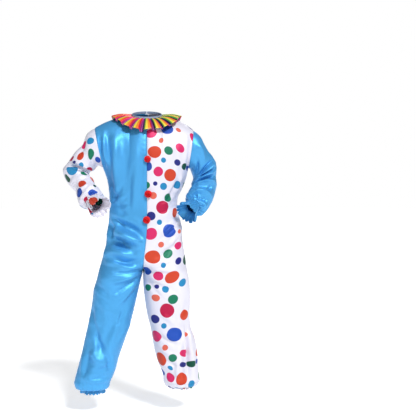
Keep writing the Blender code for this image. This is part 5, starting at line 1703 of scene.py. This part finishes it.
def make_stitching(pieces, frills, collar_grid, band_grid, blue, white):
    """The visible sewing: elastics, frill hems, the collar's hem, the binding and the zip's sides."""
    for side, leg_thread, arm_thread in ((RIGHT, blue, white), (LEFT, white, blue)):
        word = WORDS[side]
        for row in WRIST_STITCH_ROWS:
            ring_stitches(f"wrist_stitches_{word}", pieces[f"sleeve_{word}"][1], row, arm_thread)
        front, back = (pieces[f"{label}_{word}"][1] for label in ("front", "back"))
        leg = np.concatenate([front[:12], back[:12, ::-1][:, 1:-1]], axis=1)
        for row in ANKLE_STITCH_ROWS:
            ring_stitches(f"ankle_stitches_{word}", leg, row, leg_thread)
        ring_stitches(f"ankle_hem_{word}", frills[f"ankle_frill_{word}"][1], HEM_ROW, leg_thread)
        ring_stitches(f"wrist_hem_{word}", frills[f"wrist_frill_{word}"][1], HEM_ROW, arm_thread)
        normals = grid_normals(back)
        normals = normals * np.sign(normals[..., 1:2].mean())
        line, across = back[:, ZIP_STITCH_COLUMN], normals[:, ZIP_STITCH_COLUMN]
        beside = line[:, 2] > ZIP_BOTTOM_Z - ZIP_STITCH_PAST
        stitches(f"zip_stitches_{word}", line[beside], across[beside], leg_thread)
    normals = grid_normals(collar_grid)
    normals = normals * np.sign(normals[..., 2].mean())
    stitches("collar_hem", collar_grid[HEM_ROW], normals[HEM_ROW], white)
    line = band_grid[1]
    stitches("band_stitches", line, from_neck(line), blue, BAND_STITCH, BAND_STITCH_LIFT)


def make_zip(back_right, back_left, tape_material, thread):
    """Woven tape with a nylon coil down the middle, where the CAD strip lies."""
    low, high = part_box("zip_tape")
    heights = np.linspace(low.z, high.z, TAPE_ROWS)
    edges = []
    for edge in (back_right[:, 0], back_left[:, 0]):
        order = np.argsort(edge[:, 2])
        edges.append(read_line(heights, edge[order, 2], edge[order]))
    grid = np.linspace(*edges, TAPE_COLUMNS, axis=1)
    grid[:, 1:-1, 1] -= TAPE_SUNK
    uv = np.stack([lengths_along(grid, 1), lengths_along(grid, 0)], axis=2)
    tape = cloth_shell("zip_tape_cloth", grid, uv, tape_material, thickness=TAPE_CLOTH)
    middle, normals = grid[:, TAPE_COLUMNS // 2], grid_normals(grid)[:, TAPE_COLUMNS // 2]
    along = distances(middle)
    count = int(along[-1] / ZIP_TOOTH_PITCH) - 3
    at = (np.arange(count) + 1.5) * ZIP_TOOTH_PITCH
    up = unit(read_line(at, along, normals * np.sign(normals[:, 1:2])))
    centre = read_line(at, along, middle) + up * TOOTH_LIFT
    across = np.where(np.arange(count) % 2 == 0, 1.0, -1.0)[:, None] * np.array([[1.0, 0.0, 0.0]])
    roots, tips = centre - across * TOOTH_ROOT, centre + across * TOOTH_TIP
    teeth = strands("zip_coil", roots, tips, up * TOOTH_ARCH, TOOTH_RADIUS, thread, sides=5, steps=4)
    return tape


def make_stage():
    mesh = bpy.data.meshes.new("floor")
    work = bmesh.new()
    bmesh.ops.create_grid(work, x_segments=1, y_segments=1, size=FLOOR_SIZE)
    work.to_mesh(mesh)
    work.free()
    floor = linked("floor", mesh)
    floor.location = (0.0, 0.0, FLOOR_Z)
    paint, _, shader = node_material("floor_paint", 0.9, 0.1)
    glow = {"Emission Color": (1.0, 1.0, 1.0, 1.0), "Emission Strength": FLOOR_GLOW}
    fill(shader, {"Base Color": (0.90, 0.90, 0.90, 1.0), **glow})
    mesh.materials.append(paint)


def facing(direction):
    """The rotation that points a light or camera along a direction."""
    return direction.to_track_quat("-Z", "Y").to_euler()


def make_lights():
    sun = bpy.data.lights.new("key", "SUN")
    sun.energy = KEY_POWER
    sun.angle = math.radians(KEY_WIDTH)
    linked("key", sun).rotation_euler = facing(-Vector(KEY_FROM))
    for name, place, size, power in AREA_LIGHTS:
        light = bpy.data.lights.new(name, "AREA")
        light.shape = "DISK"
        light.size = size
        light.energy = power
        made = linked(name, light)
        made.location = place
        made.rotation_euler = facing(Vector(LIGHTS_AIM) - Vector(place))
    world = bpy.data.worlds.new("studio")
    bpy.context.scene.world = world
    world.use_nodes = True
    nodes, links = world.node_tree.nodes, world.node_tree.links
    seen, lighting = nodes.new("ShaderNodeBackground"), nodes["Background"]
    fill(seen, {"Color": (1.0, 1.0, 1.0, 1.0), "Strength": 1.0})
    fill(lighting, {"Color": (*WORLD_COLOUR, 1.0), "Strength": WORLD_LIGHT})
    path = nodes.new("ShaderNodeLightPath")
    choose = nodes.new("ShaderNodeMixShader")
    links.new(path.outputs["Is Camera Ray"], choose.inputs[0])
    links.new(lighting.outputs[0], choose.inputs[1])
    links.new(seen.outputs[0], choose.inputs[2])
    links.new(choose.outputs[0], nodes["World Output"].inputs["Surface"])
    bpy.context.scene.view_settings.view_transform = "Standard"


def make_camera():
    camera = bpy.data.cameras.new("camera")
    camera.sensor_width = 36.0
    camera.lens = camera.sensor_width * CAMERA_DISTANCE / (FRAME_PIXELS * METRES_PER_PIXEL)
    made = linked("camera", camera)
    made.location = (0.0, -CAMERA_DISTANCE, CAMERA_Z)
    right, down = (FRAME_PIXELS / 2 - pixel for pixel in ORIGIN_PIXEL)
    aim = Vector((right, 0.0, -down)) * METRES_PER_PIXEL
    made.rotation_euler = facing(aim - made.location)
    bpy.context.scene.camera = made


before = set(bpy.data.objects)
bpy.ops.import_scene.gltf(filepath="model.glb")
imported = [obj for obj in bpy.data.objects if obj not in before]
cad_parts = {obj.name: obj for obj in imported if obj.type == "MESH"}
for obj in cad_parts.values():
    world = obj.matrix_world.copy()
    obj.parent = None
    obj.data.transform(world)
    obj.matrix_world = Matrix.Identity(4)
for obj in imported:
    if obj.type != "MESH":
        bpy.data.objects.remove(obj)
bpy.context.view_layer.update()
make_camera()
make_lights()
make_stage()

cloths = {
    "blue": blue_satin(),
    "dots": dotted_satin("dotted_satin", DOTS, DOT_REPEAT),
    "sleeve_dots": dotted_satin("dotted_satin_sleeve", SLEEVE_DOTS, SLEEVE_REPEAT),
}
binding = plain_cloth("grey_binding", BAND_COLOUR, 0.55, 0.0012)
tape_weave = plain_cloth("zip_tape_weave", TAPE_COLOUR, 0.6, 0.0010)
blue_thread = thread_material("blue_thread", BLUE_THREAD)
white_thread = thread_material("white_thread", WHITE_THREAD)
yarn = yarn_material()
metal = metal_material()

pieces = make_body(cloths)
panels = [pieces[f"{label}_{word}"][1] for label in ("front", "back") for word in WORDS.values()]
frills = make_frills(pieces, cloths)
collar, collar_points = make_collar(surface_tree(panels))
band, band_points = make_neck_band(binding)
tape = make_zip(pieces["back_right"][1], pieces["back_left"][1], tape_weave, blue_thread)
for number in (1, 2, 3):
    make_pompom(number, yarn)
make_stitching(pieces, frills, collar_points, band_points, blue_thread, white_thread)

all_cloth = {name: piece[0] for name, piece in (pieces | frills).items()}
all_cloth.update({"collar_ruffle": collar, "neck_band": band, "zip_tape": tape})
for name, piece in all_cloth.items():
    apply_modifiers(piece)
    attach(piece, "garment")
    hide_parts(name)

for node in ("zip_slider", "zip_pull"):
    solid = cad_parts[node]
    solid.data.materials.clear()
    solid.data.materials.append(metal)
